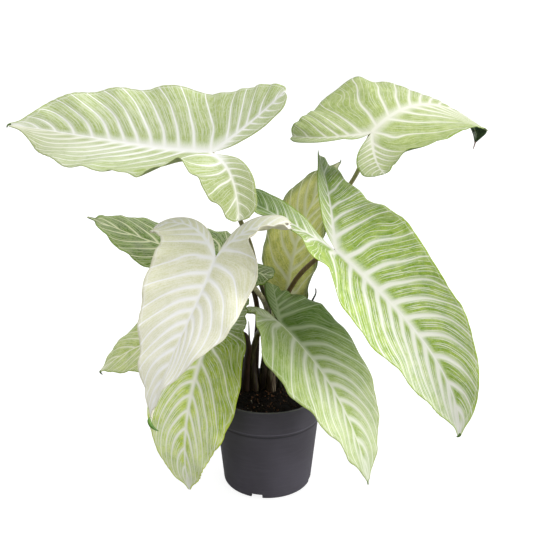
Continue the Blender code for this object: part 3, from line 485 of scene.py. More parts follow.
class Wiring:
    """Short calls that add and join the nodes of one tree."""

    def __init__(self, tree):
        self.tree = tree

    def join(self, socket, value):
        if isinstance(value, bpy.types.NodeSocket):
            self.tree.links.new(value, socket)
        else:
            socket.default_value = value

    def node(self, kind, inputs=(), **settings):
        made = self.tree.nodes.new(kind)
        for key, value in settings.items():
            setattr(made, key, value)
        for key, value in dict(inputs).items():
            self.join(made.inputs[key], value)
        return made

    def math(self, operation, first, *others):
        """One sum, or a row of them from left to right."""
        for other in others or (0.0,):
            first = self.node("ShaderNodeMath", {0: first, 1: other}, operation=operation).outputs[0]
        return first

    def times(self, *factors):
        return self.math("MULTIPLY", *factors)

    def plus(self, *parts):
        return self.math("ADD", *parts)

    def minus(self, whole, part):
        return self.math("SUBTRACT", whole, part)

    def over(self, whole, size):
        return self.math("DIVIDE", whole, size)

    def most(self, *values):
        return self.math("MAXIMUM", *values)

    def far(self, x, middle):
        return self.math("ABSOLUTE", self.minus(x, middle))

    def ramp(self, x, low, high, start=0.0, end=1.0):
        """Smooth change from start to end as x goes from low to high."""
        return self.node("ShaderNodeMapRange", {"Value": x, "From Min": low, "From Max": high,
                                                "To Min": start, "To Max": end},
                         interpolation_type="SMOOTHSTEP").outputs[0]

    def mix(self, share, a, b, blend="MIX"):
        made = self.node("ShaderNodeMix", {0: share, 6: a, 7: b}, data_type="RGBA", blend_type=blend)
        return made.outputs[2]

    def split(self, vector):
        return self.node("ShaderNodeSeparateXYZ", {0: vector}).outputs

    def uv(self, name):
        return self.split(self.node("ShaderNodeUVMap", uv_map=name).outputs[0])[:2]

    def place(self, stretch=None):
        """The place on the piece, drawn out along Z where the pattern is."""
        place = self.node("ShaderNodeTexCoord").outputs["Object"]
        if stretch is None:
            return place
        return self.node("ShaderNodeMapping", {"Vector": place, "Scale": (1.0, 1.0, stretch)}).outputs[0]

    def noise(self, vector, scale, detail=2.0, roughness=0.5):
        return self.node("ShaderNodeTexNoise", {"Vector": vector, "Scale": scale, "Detail": detail,
                                                "Roughness": roughness}).outputs[0]

    def bump(self, height, strength, distance):
        return self.node("ShaderNodeBump", {"Height": height, "Strength": strength,
                                            "Distance": distance}).outputs[0]


def new_material(name, roughness, specular=0.4):
    mat = bpy.data.materials.new(name)
    mat.use_nodes = True
    shader = mat.node_tree.nodes["Principled BSDF"]
    shader.inputs["Roughness"].default_value = roughness
    shader.inputs["Specular IOR Level"].default_value = specular
    return mat, Wiring(mat.node_tree), shader


def coat(w, shader, colour, normal, roughness=None):
    """Give the shader its colour, its fine relief and, where it varies, its roughness."""
    w.join(shader.inputs["Base Color"], colour)
    w.join(shader.inputs["Normal"], normal)
    if roughness is not None:
        w.join(shader.inputs["Roughness"], roughness)


def vein_lines(w, look, flat):
    """The veins of a leaf, how white its blade is with their halos, and the streaks between them."""
    phase, t = w.uv("veins")
    rib, edge = w.uv("span")
    cell, s = w.uv("cell")
    wander = w.minus(w.noise(flat, 0.022, 0.0), 0.5)
    line = w.plus(phase, w.times(wander, VEIN_WANDER, w.ramp(t, 0.0, 0.4)))
    slender = w.times(w.ramp(s, -1.0, -0.05, 0.5, 1.0), w.ramp(s, 0.4, 1.0, 1.0, 0.55))

    def vein_at(offset, count, half, near, far):
        """Distance in mm to a set of veins, and how lit they are over their tapering half width."""
        moved = w.plus(w.times(line, count), offset)
        off = w.times(w.math("PINGPONG", moved, 0.5), w.over(cell, count))
        width = w.times(w.ramp(t, 0.0, 0.9, half * near, half * far), slender)
        return off, w.ramp(w.over(off, width), 0.25, 1.8, 1.0, 0.0)

    def along_veins(across, along):
        """A place that follows the veins, with so many steps between two of them and along one."""
        return w.node("ShaderNodeCombineXYZ", {0: w.times(line, across), 1: w.times(t, along)}).outputs[0]

    off, main = vein_at(0.0, 1.0, look["vein"], *VEIN_TAPER)
    _, thin = vein_at(0.5, 1.0, THIN_HALF, 1.0, 0.8)
    broken = w.ramp(w.noise(flat, 0.05, 1.0), 0.36, 0.50, 0.35, 1.0)
    thin = w.times(thin, w.ramp(t, 0.05, 0.3, 0.0, look["thin"]), broken)

    # Fine veins that wander between them, and a drawn-out net
    drift = w.times(w.minus(w.noise(flat, 0.028, 0.0), 0.5), THREAD_DRIFT)
    _, thread = vein_at(drift, THREADS, THREAD_HALF, 1.0, 1.0)
    gaps = w.ramp(w.noise(flat, 0.09, 1.0), 0.32, 0.50, 0.35, 1.0)
    thread = w.times(thread, w.ramp(t, 0.06, 0.3, 0.0, look["thin"]), gaps)
    net = w.node("ShaderNodeTexVoronoi", {"Vector": along_veins(*NET), "Scale": 1.0},
                 feature="DISTANCE_TO_EDGE").outputs["Distance"]
    net = w.times(w.ramp(net, 0.0, 0.22, 1.0, 0.0), look["net"] * NET_STRENGTH)

    half_rib = w.times(w.ramp(s, 0.0, 1.0, *MIDRIB_HALF), w.ramp(s, -1.0, 0.0, *LOBE_RIB))
    midrib = w.ramp(w.over(rib, half_rib), 0.4, 1.5, 1.0, 0.0)
    border = w.far(edge, w.ramp(w.noise(flat, 0.1, 1.0), 0.3, 0.7, *BORDER_IN))
    border = w.times(w.ramp(border, 0.2, 0.9, 1.0, 0.0), BORDER_STRENGTH)
    lines = w.times(w.most(main, thin, thread, net), w.ramp(edge, 0.3, 1.8))
    lines = w.most(lines, border, midrib)

    # The glow along the midrib and the halo of each main vein
    lobe = w.ramp(s, -0.4, 0.05, look["lobe"], 1.0)
    reach = w.times(w.ramp(s, 0.0, 1.0, look["reach"], look["reach"] * GLOW_NARROWS),
                    w.ramp(s, -0.5, 0.0, 0.3, 1.0))
    glow = w.times(w.ramp(w.over(rib, reach), 0.05, 1.0, 1.0, 0.0),
                   w.ramp(s, 0.2, 1.0, look["glow"], look["glow"] * GLOW_FADE), lobe)
    halo = w.times(w.ramp(off, 0.0, HALO_REACH, 1.0, 0.0),
                   w.ramp(t, 0.1, 1.0, *(look["halo"] * fade for fade in HALO_FADE)), lobe)
    left = w.times(*(w.minus(1.0, white) for white in (lines, glow, halo)))
    return lines, w.minus(1.0, left), w.noise(along_veins(*STREAKS), 1.0, 3.0, 0.6)


def leaf_material(name):
    """Pale midrib and arching veins with soft halos over green, a thin net and a margin line."""
    look = {**USUAL_LOOK, **LOOKS[name]}
    mat, w, shader = new_material("leaf_" + name, 0.5, 0.2)
    edge, s = w.uv("span")[1], w.uv("cell")[1]
    dark, under = w.uv("tone")
    flat = w.node("ShaderNodeUVMap", uv_map="flat").outputs[0]
    lines, white, streak = vein_lines(w, look, flat)

    patch = w.noise(flat, 0.07, 3.0, 0.55)
    fine = w.noise(flat, 0.55, 3.0, 0.6)
    depth = w.plus(w.times(patch, PATCH_SHARE), w.times(streak, look["grain"]),
                   w.times(fine, FINE_SHARE - look["grain"]))
    green = w.mix(w.ramp(depth, 0.38, 0.62), shade(look["deep"]), shade(look["green"]))
    green = w.mix(w.ramp(edge, 0.3, look["border"], 0.85, 0.0), green, shade(look["margin"]))
    # The darker places are partly a deeper green and partly painted shade; they darken the green and veil the
    # veins
    deep_green_and_painted_shade = shade(look["dark"])
    green = w.mix(dark, green, deep_green_and_painted_shade, "MULTIPLY")
    pale = w.mix(w.times(dark, look["veil"]), shade(look["white"]), deep_green_and_painted_shade, "MULTIPLY")
    colour = w.mix(white, green, pale)
    colour = w.mix(w.times(under, UNDER_STRENGTH), colour, shade(look["under"]))
    if look["specks"]:
        spot = w.ramp(w.noise(flat, 0.30, 1.0), 0.56, 0.62, 0.0, look["specks"])
        colour = w.mix(w.times(spot, w.ramp(s, -0.86, -0.95)), colour, shade(SPECK_BROWN))
    height = w.minus(w.times(fine, 0.3), lines)
    coat(w, shader, colour, w.bump(height, 0.3, 0.0005), w.ramp(white, 0.0, 1.0, 0.46, 0.56))
    return mat


def stalk_material(name, dark, light, low, high):
    """Streaks along the stalk, which turns from dark to light between two heights."""
    mat, w, shader = new_material(name, 0.42, 0.45)
    rise = w.ramp(w.split(w.place())[2], low, high)
    streak = w.noise(w.place(0.10), 420.0, 4.0, 0.65)
    speck = w.noise(w.place(), 900.0, 2.0)
    share = w.plus(w.times(rise, 0.75), w.ramp(streak, 0.35, 0.7, -0.2, 0.35))
    colour = w.mix(share, shade(dark), shade(light))
    colour = w.mix(w.ramp(speck, 0.55, 0.75, 0.0, 0.3), colour, shade(dark))
    coat(w, shader, colour, w.bump(streak, 0.3, 0.0004))
    return mat


def flap_material():
    """Dark green underside with one pale vein down its length."""
    mat, w, shader = new_material("blade_end_underside", 0.4, 0.45)
    over, down = w.uv("flap")
    vein = w.ramp(w.far(over, w.ramp(down, 0.0, 1.0, 0.22, 0.5)), 0.02, 0.06, 0.75, 0.0)
    grain = w.noise(w.place(), 380.0, 3.0, 0.6)
    green = w.mix(w.ramp(grain, 0.35, 0.65), *map(shade, FLAP_GREENS))
    green = w.mix(w.ramp(over, 0.45, 1.0, 0.0, 0.6), green, shade(FLAP_EDGE))
    coat(w, shader, w.mix(vein, green, shade(FLAP_VEIN)), w.bump(grain, 0.3, 0.0004))
    return mat


def pot_material():
    """Thin moulded plastic: fine matte grain, cloudy tone, faint rings, painted shade under the step and
    painted highlights over it and on the rim.
    """
    mat, w, shader = new_material("pot_plastic", 0.42, 0.5)
    cloud = w.noise(w.place(), 22.0, 3.0)
    grain = w.noise(w.place(), 1900.0, 2.0)
    band = w.noise(w.place(9.0), 40.0, 2.0)
    colour = w.mix(w.ramp(cloud, 0.35, 0.7), *map(shade, PLASTIC))
    colour = w.mix(w.ramp(band, 0.45, 0.7, 0.0, 0.35), colour, shade(PLASTIC_RINGS))
    height = w.split(w.place())[2]
    # Painted shade in a band under the step, painted highlights on the edge over it and on the rim's edge
    for level, reach, share, tone in POT_PAINTED_SHADE_AND_HIGHLIGHTS:
        colour = w.mix(w.ramp(w.far(height, level), 0.0, reach, share, 0.0), colour, shade(tone))
    coat(w, shader, colour, w.bump(grain, 0.12, 0.0002), w.ramp(cloud, 0.3, 0.7, 0.38, 0.46))
    return mat


def earth_material(name, low, high, roughness=0.95, scale=260.0):
    """Crumbly peat, bark or stone in two colours."""
    mat, w, shader = new_material(name, roughness, 0.2)
    grain = w.noise(w.place(), scale, 4.0, 0.65)
    fine = w.noise(w.place(), scale * 6, 2.0)
    coat(w, shader, w.mix(w.ramp(grain, 0.35, 0.68), shade(low), shade(high)), w.bump(fine, 0.6, 0.0006))
    return mat


def sheath_material():
    """A dry papery bract, ochre with brown streaks along it."""
    mat, w, shader = new_material("dry_sheath", 0.75, 0.25)
    fibre = w.noise(w.place(0.06), 900.0, 4.0, 0.6)
    ochre = w.mix(w.ramp(fibre, 0.36, 0.64), *map(shade, SHEATH_OCHRE))
    coat(w, shader, ochre, w.bump(fibre, 0.5, 0.0004))
    return mat


# Shapes

def ease(x):
    """Smooth step from 0 to 1."""
    return x * x * (3 - 2 * x)


def knotted(t, chord, start, end, leave, arrive):
    """Between two knots: their values, and their slopes over the chord."""
    return ((1 - ease(t)) * start + ease(t) * end
            + t * (1 - t) ** 2 * chord * leave - t * t * (1 - t) * chord * arrive)


def smooth(x, xs, ys):
    """Cubic through the points (xs, ys) with their own mean slopes."""
    xs, ys = np.asarray(xs, float), np.asarray(ys, float)
    slope = np.gradient(ys, xs)
    i = np.clip(np.searchsorted(xs, x, side="right") - 1, 0, len(xs) - 2)
    chord = xs[i + 1] - xs[i]
    t = np.clip((x - xs[i]) / chord, 0.0, 1.0)
    return knotted(t, chord, ys[i], ys[i + 1], slope[i], slope[i + 1])


def follow(points, end_direction, count):
    """Even points on a smooth curve that starts straight up and ends along a direction."""
    points = np.array([tuple(p) for p in points])
    chords = np.linalg.norm(np.diff(points, axis=0), axis=1)
    at_length = np.concatenate([[0], np.cumsum(chords)])
    slopes = np.gradient(points, at_length, axis=0)
    slopes[0] = (0, 0, 1)
    slopes[-1] = tuple(end_direction)
    where = np.linspace(0, at_length[-1], count)
    i = np.clip(np.searchsorted(at_length, where, side="right") - 1, 0, len(points) - 2)
    t = ((where - at_length[i]) / chords[i])[:, None]
    return knotted(t, chords[i][:, None], points[i], points[i + 1], slopes[i], slopes[i + 1])


def turn(axis, angle, vec):
    """Turn each vector about its unit axis."""
    c, s = np.cos(angle)[..., None], np.sin(angle)[..., None]
    along = np.sum(axis * vec, axis=-1, keepdims=True)
    return vec * c + np.cross(axis, vec) * s + axis * along * (1 - c)


def rib_flat(s, lobe):
    """Point of the midrib (s over 0) or of a lobe's rib (s under 0) in the flat blade."""
    back = np.minimum(s, 0.0) * -LOBE_LENGTH * lobe
    return np.maximum(s, 0.0) + back * LOBE_COS, back * LOBE_SIN


def margin_flat(s, width, lobe):
    """Point of the outer margin in the flat blade."""
    u, v = smooth(s, MARGIN_S, MARGIN_U), smooth(s, MARGIN_S, MARGIN_V)
    back = np.clip(-s, 0, 1)
    stretch = 1 + (lobe - 1) * np.minimum(1.0, back * LOBE_STRETCH)
    wide = np.where(s > 0, width, 1 + (width - 1) * (1 - back))
    return u * stretch, v * wide * stretch


def row_flat(s, t, width, lobe):
    """Point of a vein line in the flat blade."""
    ru, rv = rib_flat(s, lobe)
    mu, mv = margin_flat(s, width, lobe)
    reach = ROW_REACH * np.hypot(mu - ru, mv - rv)
    start = np.radians(ROW_START - np.where(s > 0, ROW_START_TIP, ROW_START_LOBE) * s)
    a, b, c = (1 - t) ** 2, 2 * t * (1 - t), t * t
    return (a * ru + b * (ru + reach * np.cos(start)) + c * mu,
            a * rv + b * (rv + reach * np.sin(start)) + c * mv)


def frame_at(leaf, s):
    """Forward, up and left directions along the midrib."""
    head, pitch, roll = leaf["heading"], leaf["pitch"], leaf["roll"]
    h = np.radians(head[0] + head[1] * s)
    p = np.radians(pitch[0] + pitch[1] * s + pitch[2] * s ** 3)
    r = np.radians(roll[0] + roll[1] * s)
    forward = np.stack([np.cos(p) * np.cos(h), np.cos(p) * np.sin(h), np.sin(p)], -1)
    level = np.stack([-np.sin(p) * np.cos(h), -np.sin(p) * np.sin(h), np.cos(p)], -1)
    side = np.cross(level, forward)
    c, w = np.cos(r)[..., None], np.sin(r)[..., None]
    return forward, level * c - side * w, side * c + level * w


def walk(start, directions, length):
    """Points reached by following unit directions over a length."""
    step = length / (len(directions) - 1)
    moves = (directions[1:] + directions[:-1]) / 2 * step
    return np.vstack([start, start + np.cumsum(moves, axis=0)])


def midrib_line(leaf):
    """Points of the midrib from the hub to the blade's end."""
    forward = frame_at(leaf, np.linspace(0, 1, RIB_STEPS))[0]
    return walk(np.array(leaf["hub"]) * MM, forward, leaf["length"] * MM)


def on_line(share, line):
    """Points at shares of the way along a line of even points."""
    even = np.linspace(0, 1, len(line))
    return np.stack([np.interp(share, even, line[:, i]) for i in range(3)], -1)


def spacing(flat_u, flat_v, values, s, t):
    """Length in the flat blade over which the values on its grid change by one."""
    us, ut = np.gradient(flat_u, s, t)
    vs, vt = np.gradient(flat_v, s, t)
    ps, pt = np.gradient(values, s, t)
    area = us * vt - ut * vs
    area = np.where(np.abs(area) < 1e-6, 1e-6, area)
    return 1 / np.maximum(np.hypot((ps * vt - pt * vs) / area, (pt * us - ps * ut) / area), 1e-3)


def ribs(leaf, half, side, s):
    """For one half, the points of its ribs and their directions along, outward and up."""
    ahead, q = np.clip(s, 0, 1), np.clip(-s, 0, 1)
    forward, up, left = frame_at(leaf, ahead)
    fold = math.radians(half["fold"])
    across = side * math.cos(fold) * left + math.sin(fold) * up
    normal = -side * math.sin(fold) * left + math.cos(fold) * up
    hub = int(np.argmin(np.abs(s)))
    starts = (LOBE_COS * forward[hub] + LOBE_SIN * across[hub],
              LOBE_SIN * forward[hub] - LOBE_COS * across[hub], normal[hub])

    def lobe_frame(q):
        """The lobe's own directions, which start in the plane of the half and turn along it."""
        share = side * q * q * (2 - q)
        d, e, n = (np.repeat(start[None], len(q), axis=0) for start in starts)
        splay, lift, roll = (np.radians(half[k]) * share for k in ("splay", "lift", "turn"))
        d, e = turn(n, splay, d), turn(n, splay, e)
        d, n = turn(e, lift, d), turn(e, lift, n)
        e, n = turn(d, roll, e), turn(d, roll, n)
        return d, e, n

    lobe_line = walk(np.array(leaf["hub"]) * MM, lobe_frame(np.linspace(0, 1, RIB_STEPS))[0],
                     LOBE_LENGTH * half["lobe"] * (leaf["length"] * MM))
    pairs = ((on_line(ahead, midrib_line(leaf)), on_line(q, lobe_line)),
             *zip((forward, across, normal), lobe_frame(q)))
    return [np.where((s >= 0)[:, None], blade, lobe) for blade, lobe in pairs]


def vein_phase(look, side, ss, tt):
    """A whole number on each main vein, swept forward towards the margin."""
    half = 0 if side > 0 else 1
    sweep, late = look["sweep"][half]
    swept = ss - sweep * tt ** late * np.clip(0.25 + 1.5 * ss, 0, 1)
    rate = np.where(swept > 0, look["veins"][half], LOBE_VEINS)
    drift = VEIN_DRIFT * np.sin(9.0 * swept + 3.0 * side)
    return swept * rate + drift + (0.5 if side > 0 else 0.0)


def outer_part(name, half, side, s, frames):
    """The half outside its ribs as a grid, and what its material reads."""
    leaf = LEAVES[name]
    length = leaf["length"] * MM
    width, lobe = leaf["width"] * half["width"], half["lobe"]
    ss, tt = np.meshgrid(s, COLUMNS, indexing="ij")
    phase = vein_phase(LOOKS[name], side, ss, tt)
    from_vein = np.abs(phase - np.round(phase))
    ru, rv = rib_flat(s, lobe)
    mu, mv = margin_flat(s, width, lobe)
    slim = np.clip(np.hypot(mu - ru, mv - rv) / SLIM_SHARE, 0, 1) ** 2
    flat_u, flat_v = row_flat(ss, tt, width, lobe)
    cell = spacing(flat_u, flat_v, phase, s, COLUMNS) * length / MM

    # In the plane of the half: along and away from its ribs, with its tail, ruffles and scallops
    front = (s >= 0)[:, None]
    du, dv = (flat_u - ru[:, None]) * length, (flat_v - rv[:, None]) * length
    a = np.where(front, du, du * LOBE_COS + dv * LOBE_SIN)
    b = np.where(front, dv, du * LOBE_SIN - dv * LOBE_COS)
    if name in TAILS:
        share, narrow, _ = TAILS[name]
        tail = np.clip((s - 1 + share) / TAIL_NARROWING, 0, 1)[:, None]
        taper = np.sqrt(np.clip((1.02 - ss) / share, 0, 1))
        b = b * (1 - tail) + np.minimum(b, narrow * MM * taper * tt) * tail
    wave = math.radians(half["phase"])
    lean, bumps = RUFFLES[name]["left" if side > 0 else "right"]
    where, out = zip((-1, 0), *bumps, (1, 0))
    ruffle = smooth(s, where, out)[:, None] * MM * tt ** 2
    scallop = (np.abs(np.sin(2 * math.pi * phase[:, -1])) - 0.5) * (0.7 + 0.3 * np.sin(17 * s + wave))
    scallop = scallop * slim * half["scallop"] * MM
    b = b + ruffle * math.cos(math.radians(lean)) + scallop[:, None] * tt ** 6

    # Up from it: the cup, the ruffles' lean, the waves and the rise between the veins
    turned = ease(np.clip((LOBE_CUP_FROM - s) / LOBE_CUP_OVER, 0, 1))
    cup = np.radians(half["cup"] + (half["lobe_cup"] - half["cup"]) * turned) / (HALF_WIDTH * length)
    reach = np.hypot(du, dv)
    bend = cup[:, None] * reach
    flatish = np.abs(bend) < 1e-5
    safe = np.where(flatish, 1.0, bend)
    shrink = np.where(flatish, 1.0, np.sin(bend) / safe)
    rise = np.where(flatish, 0.0, reach * (1 - np.cos(bend)) / safe)
    around = 2 * math.pi * WAVE_COUNT * s + wave
    ripple = half["wave"] * MM * np.sin(around)[:, None] * tt ** 2
    crinkle = CRINKLE * np.sin(CRINKLE_RATE * around)[:, None] * tt ** 4
    puff = PUFF * np.sin(math.pi * from_vein) * np.sin(math.pi * tt) ** 0.7
    puff = puff * np.clip(cell / PUFF_CELL, 0.1, 1.0)
    dome = half["dome"] * MM * np.exp(-((ss - DOME_PLACE) / DOME_REACH) ** 2) * np.sin(math.pi * tt)
    rise = rise + ruffle * math.sin(math.radians(lean)) + (ripple + crinkle + puff + dome) * slim[:, None]

    origin, along, outward, above = (v[:, None] for v in frames)
    grid = origin + (a[..., None] * along + b[..., None] * outward) * shrink[..., None] \
        + above * rise[..., None]
    edge = (1 - tt) * spacing(flat_u, flat_v, tt, s, COLUMNS) * length / MM
    maps = {"veins": (phase + VEIN_NUMBERS[side], tt), "span": (np.abs(b) / MM, edge), "cell": (cell, ss),
            "flat": (flat_u * length / MM, side * flat_v * length / MM)}
    return grid, maps, ss, from_vein * cell


def inner_part(name, half, side, s, frames):
    """The narrow strip on the other side of the lobe's rib."""
    back = s <= 0
    length, lobe = LEAVES[name]["length"] * MM, half["lobe"]
    ss, tt = np.meshgrid(s[back], INNER_COLUMNS, indexing="ij")
    strip = smooth(s[back], INNER_S, INNER_W) * length * (0.5 + 0.5 * lobe) * half["strip"]
    tilt = math.radians(half["inner"]) * np.minimum(1, -s[back] / INNER_TILTED)[:, None]
    over = strip[:, None] * tt
    origin, along, outward, above = (v[back][:, None] for v in frames)
    steps = ((-outward, over * np.cos(tilt)), (above, over * np.sin(tilt)), (along, over * INNER_LEAN))
    grid = origin + sum(way * far[..., None] for way, far in steps)
    rate = LOBE_VEINS * INNER_VEINS
    phase = (ss + INNER_SWEEP * tt ** INNER_LATE) * rate + VEIN_NUMBERS[side] + VEIN_NUMBERS["inner"]
    cell = np.full_like(ss, LOBE_LENGTH * lobe * length / MM / rate)
    maps = {"veins": (phase, tt), "span": (over / MM, (strip[:, None] - over) / MM), "cell": (cell, ss),
            "flat": (ss * LOBE_LENGTH * length / MM, side * (INNER_APART_MM + over / MM))}
    return grid, maps, ss, cell / 4


def darkness(name, s, side):
    """Share of the darker colour, partly a deeper green and partly painted shade, which also fills a tail."""
    share = np.zeros_like(s)
    for full, gone, left, right in DARKER.get(name, ()):
        rise = ease(np.clip((gone - s) / (gone - full), 0, 1))
        share = np.maximum(share, rise * (left if side > 0 else right))
    if name in TAILS:
        length, _, tone = TAILS[name]
        share = np.maximum(share, tone * np.clip((s - 1 + length) / TAIL_DARKENING, 0, 1))
    return share


def blade_sheet(name):
    """The blade as grids of triangles that don't share points yet, its thickness and its maps."""
    s = np.concatenate([np.linspace(-1, 0, LOBE_ROWS), np.linspace(0, 1, BLADE_ROWS)[1:]])
    points, faces, thick = [], [], []
    layers = {layer: [] for layer in ("veins", "span", "cell", "flat", "tone")}
    for key, side in SIDES.items():
        half = {**USUAL_HALF, **LEAVES[name][key]}
        frames = ribs(LEAVES[name], half, side, s)
        for part in (outer_part, inner_part):
            grid, maps, along, from_vein = part(name, half, side, s, frames)
            count = sum(len(p) for p in points)
            index = np.arange(grid.shape[0] * grid.shape[1]).reshape(grid.shape[:2]) + count
            a, b, c, d = index[:-1, :-1], index[1:, :-1], index[1:, 1:], index[:-1, 1:]
            tris = np.concatenate([np.stack(tri, -1).reshape(-1, 3) for tri in ((a, b, c), (a, c, d))])
            points.append(grid.reshape(-1, 3))
            faces.append(tris if (side > 0) == (part is outer_part) else tris[:, ::-1])
            maps["tone"] = (darkness(name, along, side), np.zeros_like(along))
            for layer, rows in layers.items():
                rows.append(np.stack([m.ravel() for m in maps[layer]], -1))
            rib, edge = maps["span"]
            body = EDGE_THICK + (SHEET - EDGE_THICK) * np.clip(edge / EDGE_REACH_MM, 0, 1)
            body = body + (MIDRIB_THICK - SHEET) * (1 - MIDRIB_TAPER * np.abs(along)) \
                * np.exp(-(rib * MM / MIDRIB_ROUND) ** 2)
            body = body + VEIN_THICK * (1 - maps["veins"][1]) * np.exp(-(from_vein / VEIN_ROUND_MM) ** 2)
            thick.append(body.ravel())
    layers = {layer: np.concatenate(rows) for layer, rows in layers.items()}
    return np.concatenate(points), np.concatenate(faces), np.concatenate(thick), layers


def edges_of(tris):
    return np.concatenate([tris[:, pair] for pair in ([0, 1], [1, 2], [2, 0])])


def make_blade(name):
    """The blade as a thin closed shell with its midrib standing out below."""
    points, faces, thick, layers = blade_sheet(name)

    # Weld the grids where they meet, and drop what has no area
    _, keep, weld = np.unique(np.round(points, 7), axis=0, return_index=True, return_inverse=True)
    weld = weld.ravel()
    whole = np.all(weld[faces] != np.roll(weld[faces], 1, axis=1), axis=1)
    faces = faces[whole]
    welded = weld[faces]
    top = points[keep]
    body = np.zeros(len(top))
    np.maximum.at(body, weld, thick)

    corners = top[welded]
    across = np.cross(corners[:, 1] - corners[:, 0], corners[:, 2] - corners[:, 0])
    normals = np.zeros_like(top)
    for i in range(3):
        np.add.at(normals, welded[:, i], across)
    normals /= np.maximum(np.linalg.norm(normals, axis=1, keepdims=True), 1e-12)
    bottom = top - normals * body[:, None]

    # The rim joins both sheets along the edges that only one face uses
    n = len(top)
    sides, source = edges_of(welded), edges_of(faces)
    _, where, times = np.unique(np.sort(sides, axis=1) @ np.array([n, 1]), return_index=True,
                                return_counts=True)
    a, b = sides[where[times == 1]].T
    fa, fb = source[where[times == 1]].T
    rim = [np.stack(tri, -1) for tri in ((b, a, a + n), (b, a + n, b + n))]
    rim_from = [np.stack(tri, -1) for tri in ((fb, fa, fa), (fb, fa, fb))]
    tris = np.concatenate([welded, welded[:, ::-1] + n, *rim])
    source = np.concatenate([faces, faces[:, ::-1], *rim_from])

    mesh = bpy.data.meshes.new("blade_" + name)
    mesh.from_pydata(np.vstack([top, bottom]), [], tris)
    for layer, values in layers.items():
        uv = values[source.ravel()]
        if layer == "tone":
            uv[3 * len(welded):6 * len(welded), 1] = 1.0
        mesh.uv_layers.new(name=layer).data.foreach_set("uv", uv.astype(np.float32).ravel())
    soften(mesh)
    mesh.update()
    return mesh


def soften(mesh):
    mesh.polygons.foreach_set("use_smooth", np.ones(len(mesh.polygons), bool))


def place(name, mesh, mat=None):
    """Put a mesh in the scene with its one material."""
    thing = bpy.data.objects.new(name, mesh)
    if mat is not None:
        mesh.materials.clear()
        mesh.materials.append(mat)
    bpy.context.scene.collection.objects.link(thing)
    return thing


def settled(thing):
    """The object's mesh as its modifiers make it, in a new mesh."""
    depsgraph = bpy.context.evaluated_depsgraph_get()
    depsgraph.update()
    return bpy.data.meshes.new_from_object(thing.evaluated_get(depsgraph))


def settle(thing):
    """Replace the object's mesh by what its modifiers make of it."""
    mesh = settled(thing)
    thing.modifiers.clear()
    thing.data = mesh


def sheet_of(name, points, grid, mat, flip=False):
    """A thin sheet over a grid of points, its rows first."""
    rows, columns = grid
    faces = []
    for i in range(rows - 1):
        for j in range(columns - 1):
            a = i * columns + j
            face = (a, a + columns, a + columns + 1, a + 1)
            faces.append(face[:1] + face[:0:-1] if flip else face)
    mesh = bpy.data.meshes.new(name)
    mesh.from_pydata(points, [], faces)
    return place(name, mesh, mat)


def thicken(sheet, thickness, offset):
    shell = sheet.modifiers.new("shell", "SOLIDIFY")
    shell.thickness = thickness
    shell.offset = offset
    settle(sheet)
    soften(sheet.data)


def make_flap(name):
    """The curled end of a blade, a cupped sheet that narrows downwards."""
    down, over = (np.linspace(0, 1, count) for count in FLAP_GRID)
    knots = np.linspace(0, 1, len(FLAP_LEFT))
    left, right = (np.stack([smooth(down, knots, [p[i] for p in edge]) for i in (0, 1)], -1) * MM
                   for edge in (FLAP_LEFT, FLAP_RIGHT))
    arch = FLAP_ARCH * np.sin(math.pi * over) * (1 - down[:, None]) ** 2
    x = left[:, None, 0] * (1 - over) + right[:, None, 0] * over
    z = left[:, None, 1] * (1 - over) + right[:, None, 1] * over + arch
    y = FLAP_DEEP * np.sin(math.pi * over) * (1 - 0.6 * down[:, None])
    points = np.stack([x, y, z], -1).reshape(-1, 3) + midrib_line(LEAVES["top_right"])[-1]
    flap = sheet_of(name, points, FLAP_GRID, flap_material())
    uv = flap.data.uv_layers.new(name="flap")
    for loop in flap.data.loops:
        i, j = divmod(loop.vertex_index, FLAP_GRID[1])
        uv.data[loop.index].uv = (over[j], down[i])
    thicken(flap, EDGE_THICK, -1.0)
    return flap


def follow_stalk(name):
    """Points from the foot in the soil to the underside of the blade's hub."""
    leaf, stalk = LEAVES[name], STALKS[name]
    column, row = stalk["foot"]
    foot = Vector((CROWN_X[column], CROWN_Y[row], SOIL_CROWN + FOOT_RISE))
    forward, up, _ = (Vector(v[0]) for v in frame_at(leaf, np.array([0.0])))
    heading = (up * stalk["arrive"][0] + forward * stalk["arrive"][1]).normalized()
    end = Vector(leaf["hub"]) * MM - up * HUB_INSET
    points = [foot] + [Vector(p) * MM for p in stalk["via"]] + [end - heading * STALK_ARRIVAL, end]
    return follow(points, heading, STALK_POINTS)


def rooted(path):
    """The path with a first point deep in the soil, straight under its foot."""
    return np.vstack([[path[0][0], path[0][1], SOIL_CROWN - STALK_SUNK], path])


def new_tree(title, taken, sizes, made):
    """A tree that takes geometry, sizes and a finish, with their keys, its wiring and its inputs."""
    tree = bpy.data.node_groups.new(title, "GeometryNodeTree")
    kinds = {int: "NodeSocketInt", float: "NodeSocketFloat"}
    tree.interface.new_socket(name=taken, in_out="INPUT", socket_type="NodeSocketGeometry")
    keys = {}
    for name, value in sizes.items():
        socket = tree.interface.new_socket(name=name, in_out="INPUT", socket_type=kinds[type(value)])
        socket.default_value = value
        keys[name] = socket.identifier
    finish = tree.interface.new_socket(name="Finish", in_out="INPUT", socket_type="NodeSocketMaterial")
    keys["Finish"] = finish.identifier
    tree.interface.new_socket(name=made, in_out="OUTPUT", socket_type="NodeSocketGeometry")
    w = Wiring(tree)
    return tree, keys, w, w.node("NodeGroupInput").outputs


def end_tree(w, given, geometry):
    real = w.node("GeometryNodeRealizeInstances", {0: geometry}).outputs[0]
    done = w.node("GeometryNodeSetMaterial", {"Geometry": real, "Material": given["Finish"]})
    w.node("NodeGroupOutput", {0: done.outputs[0]})


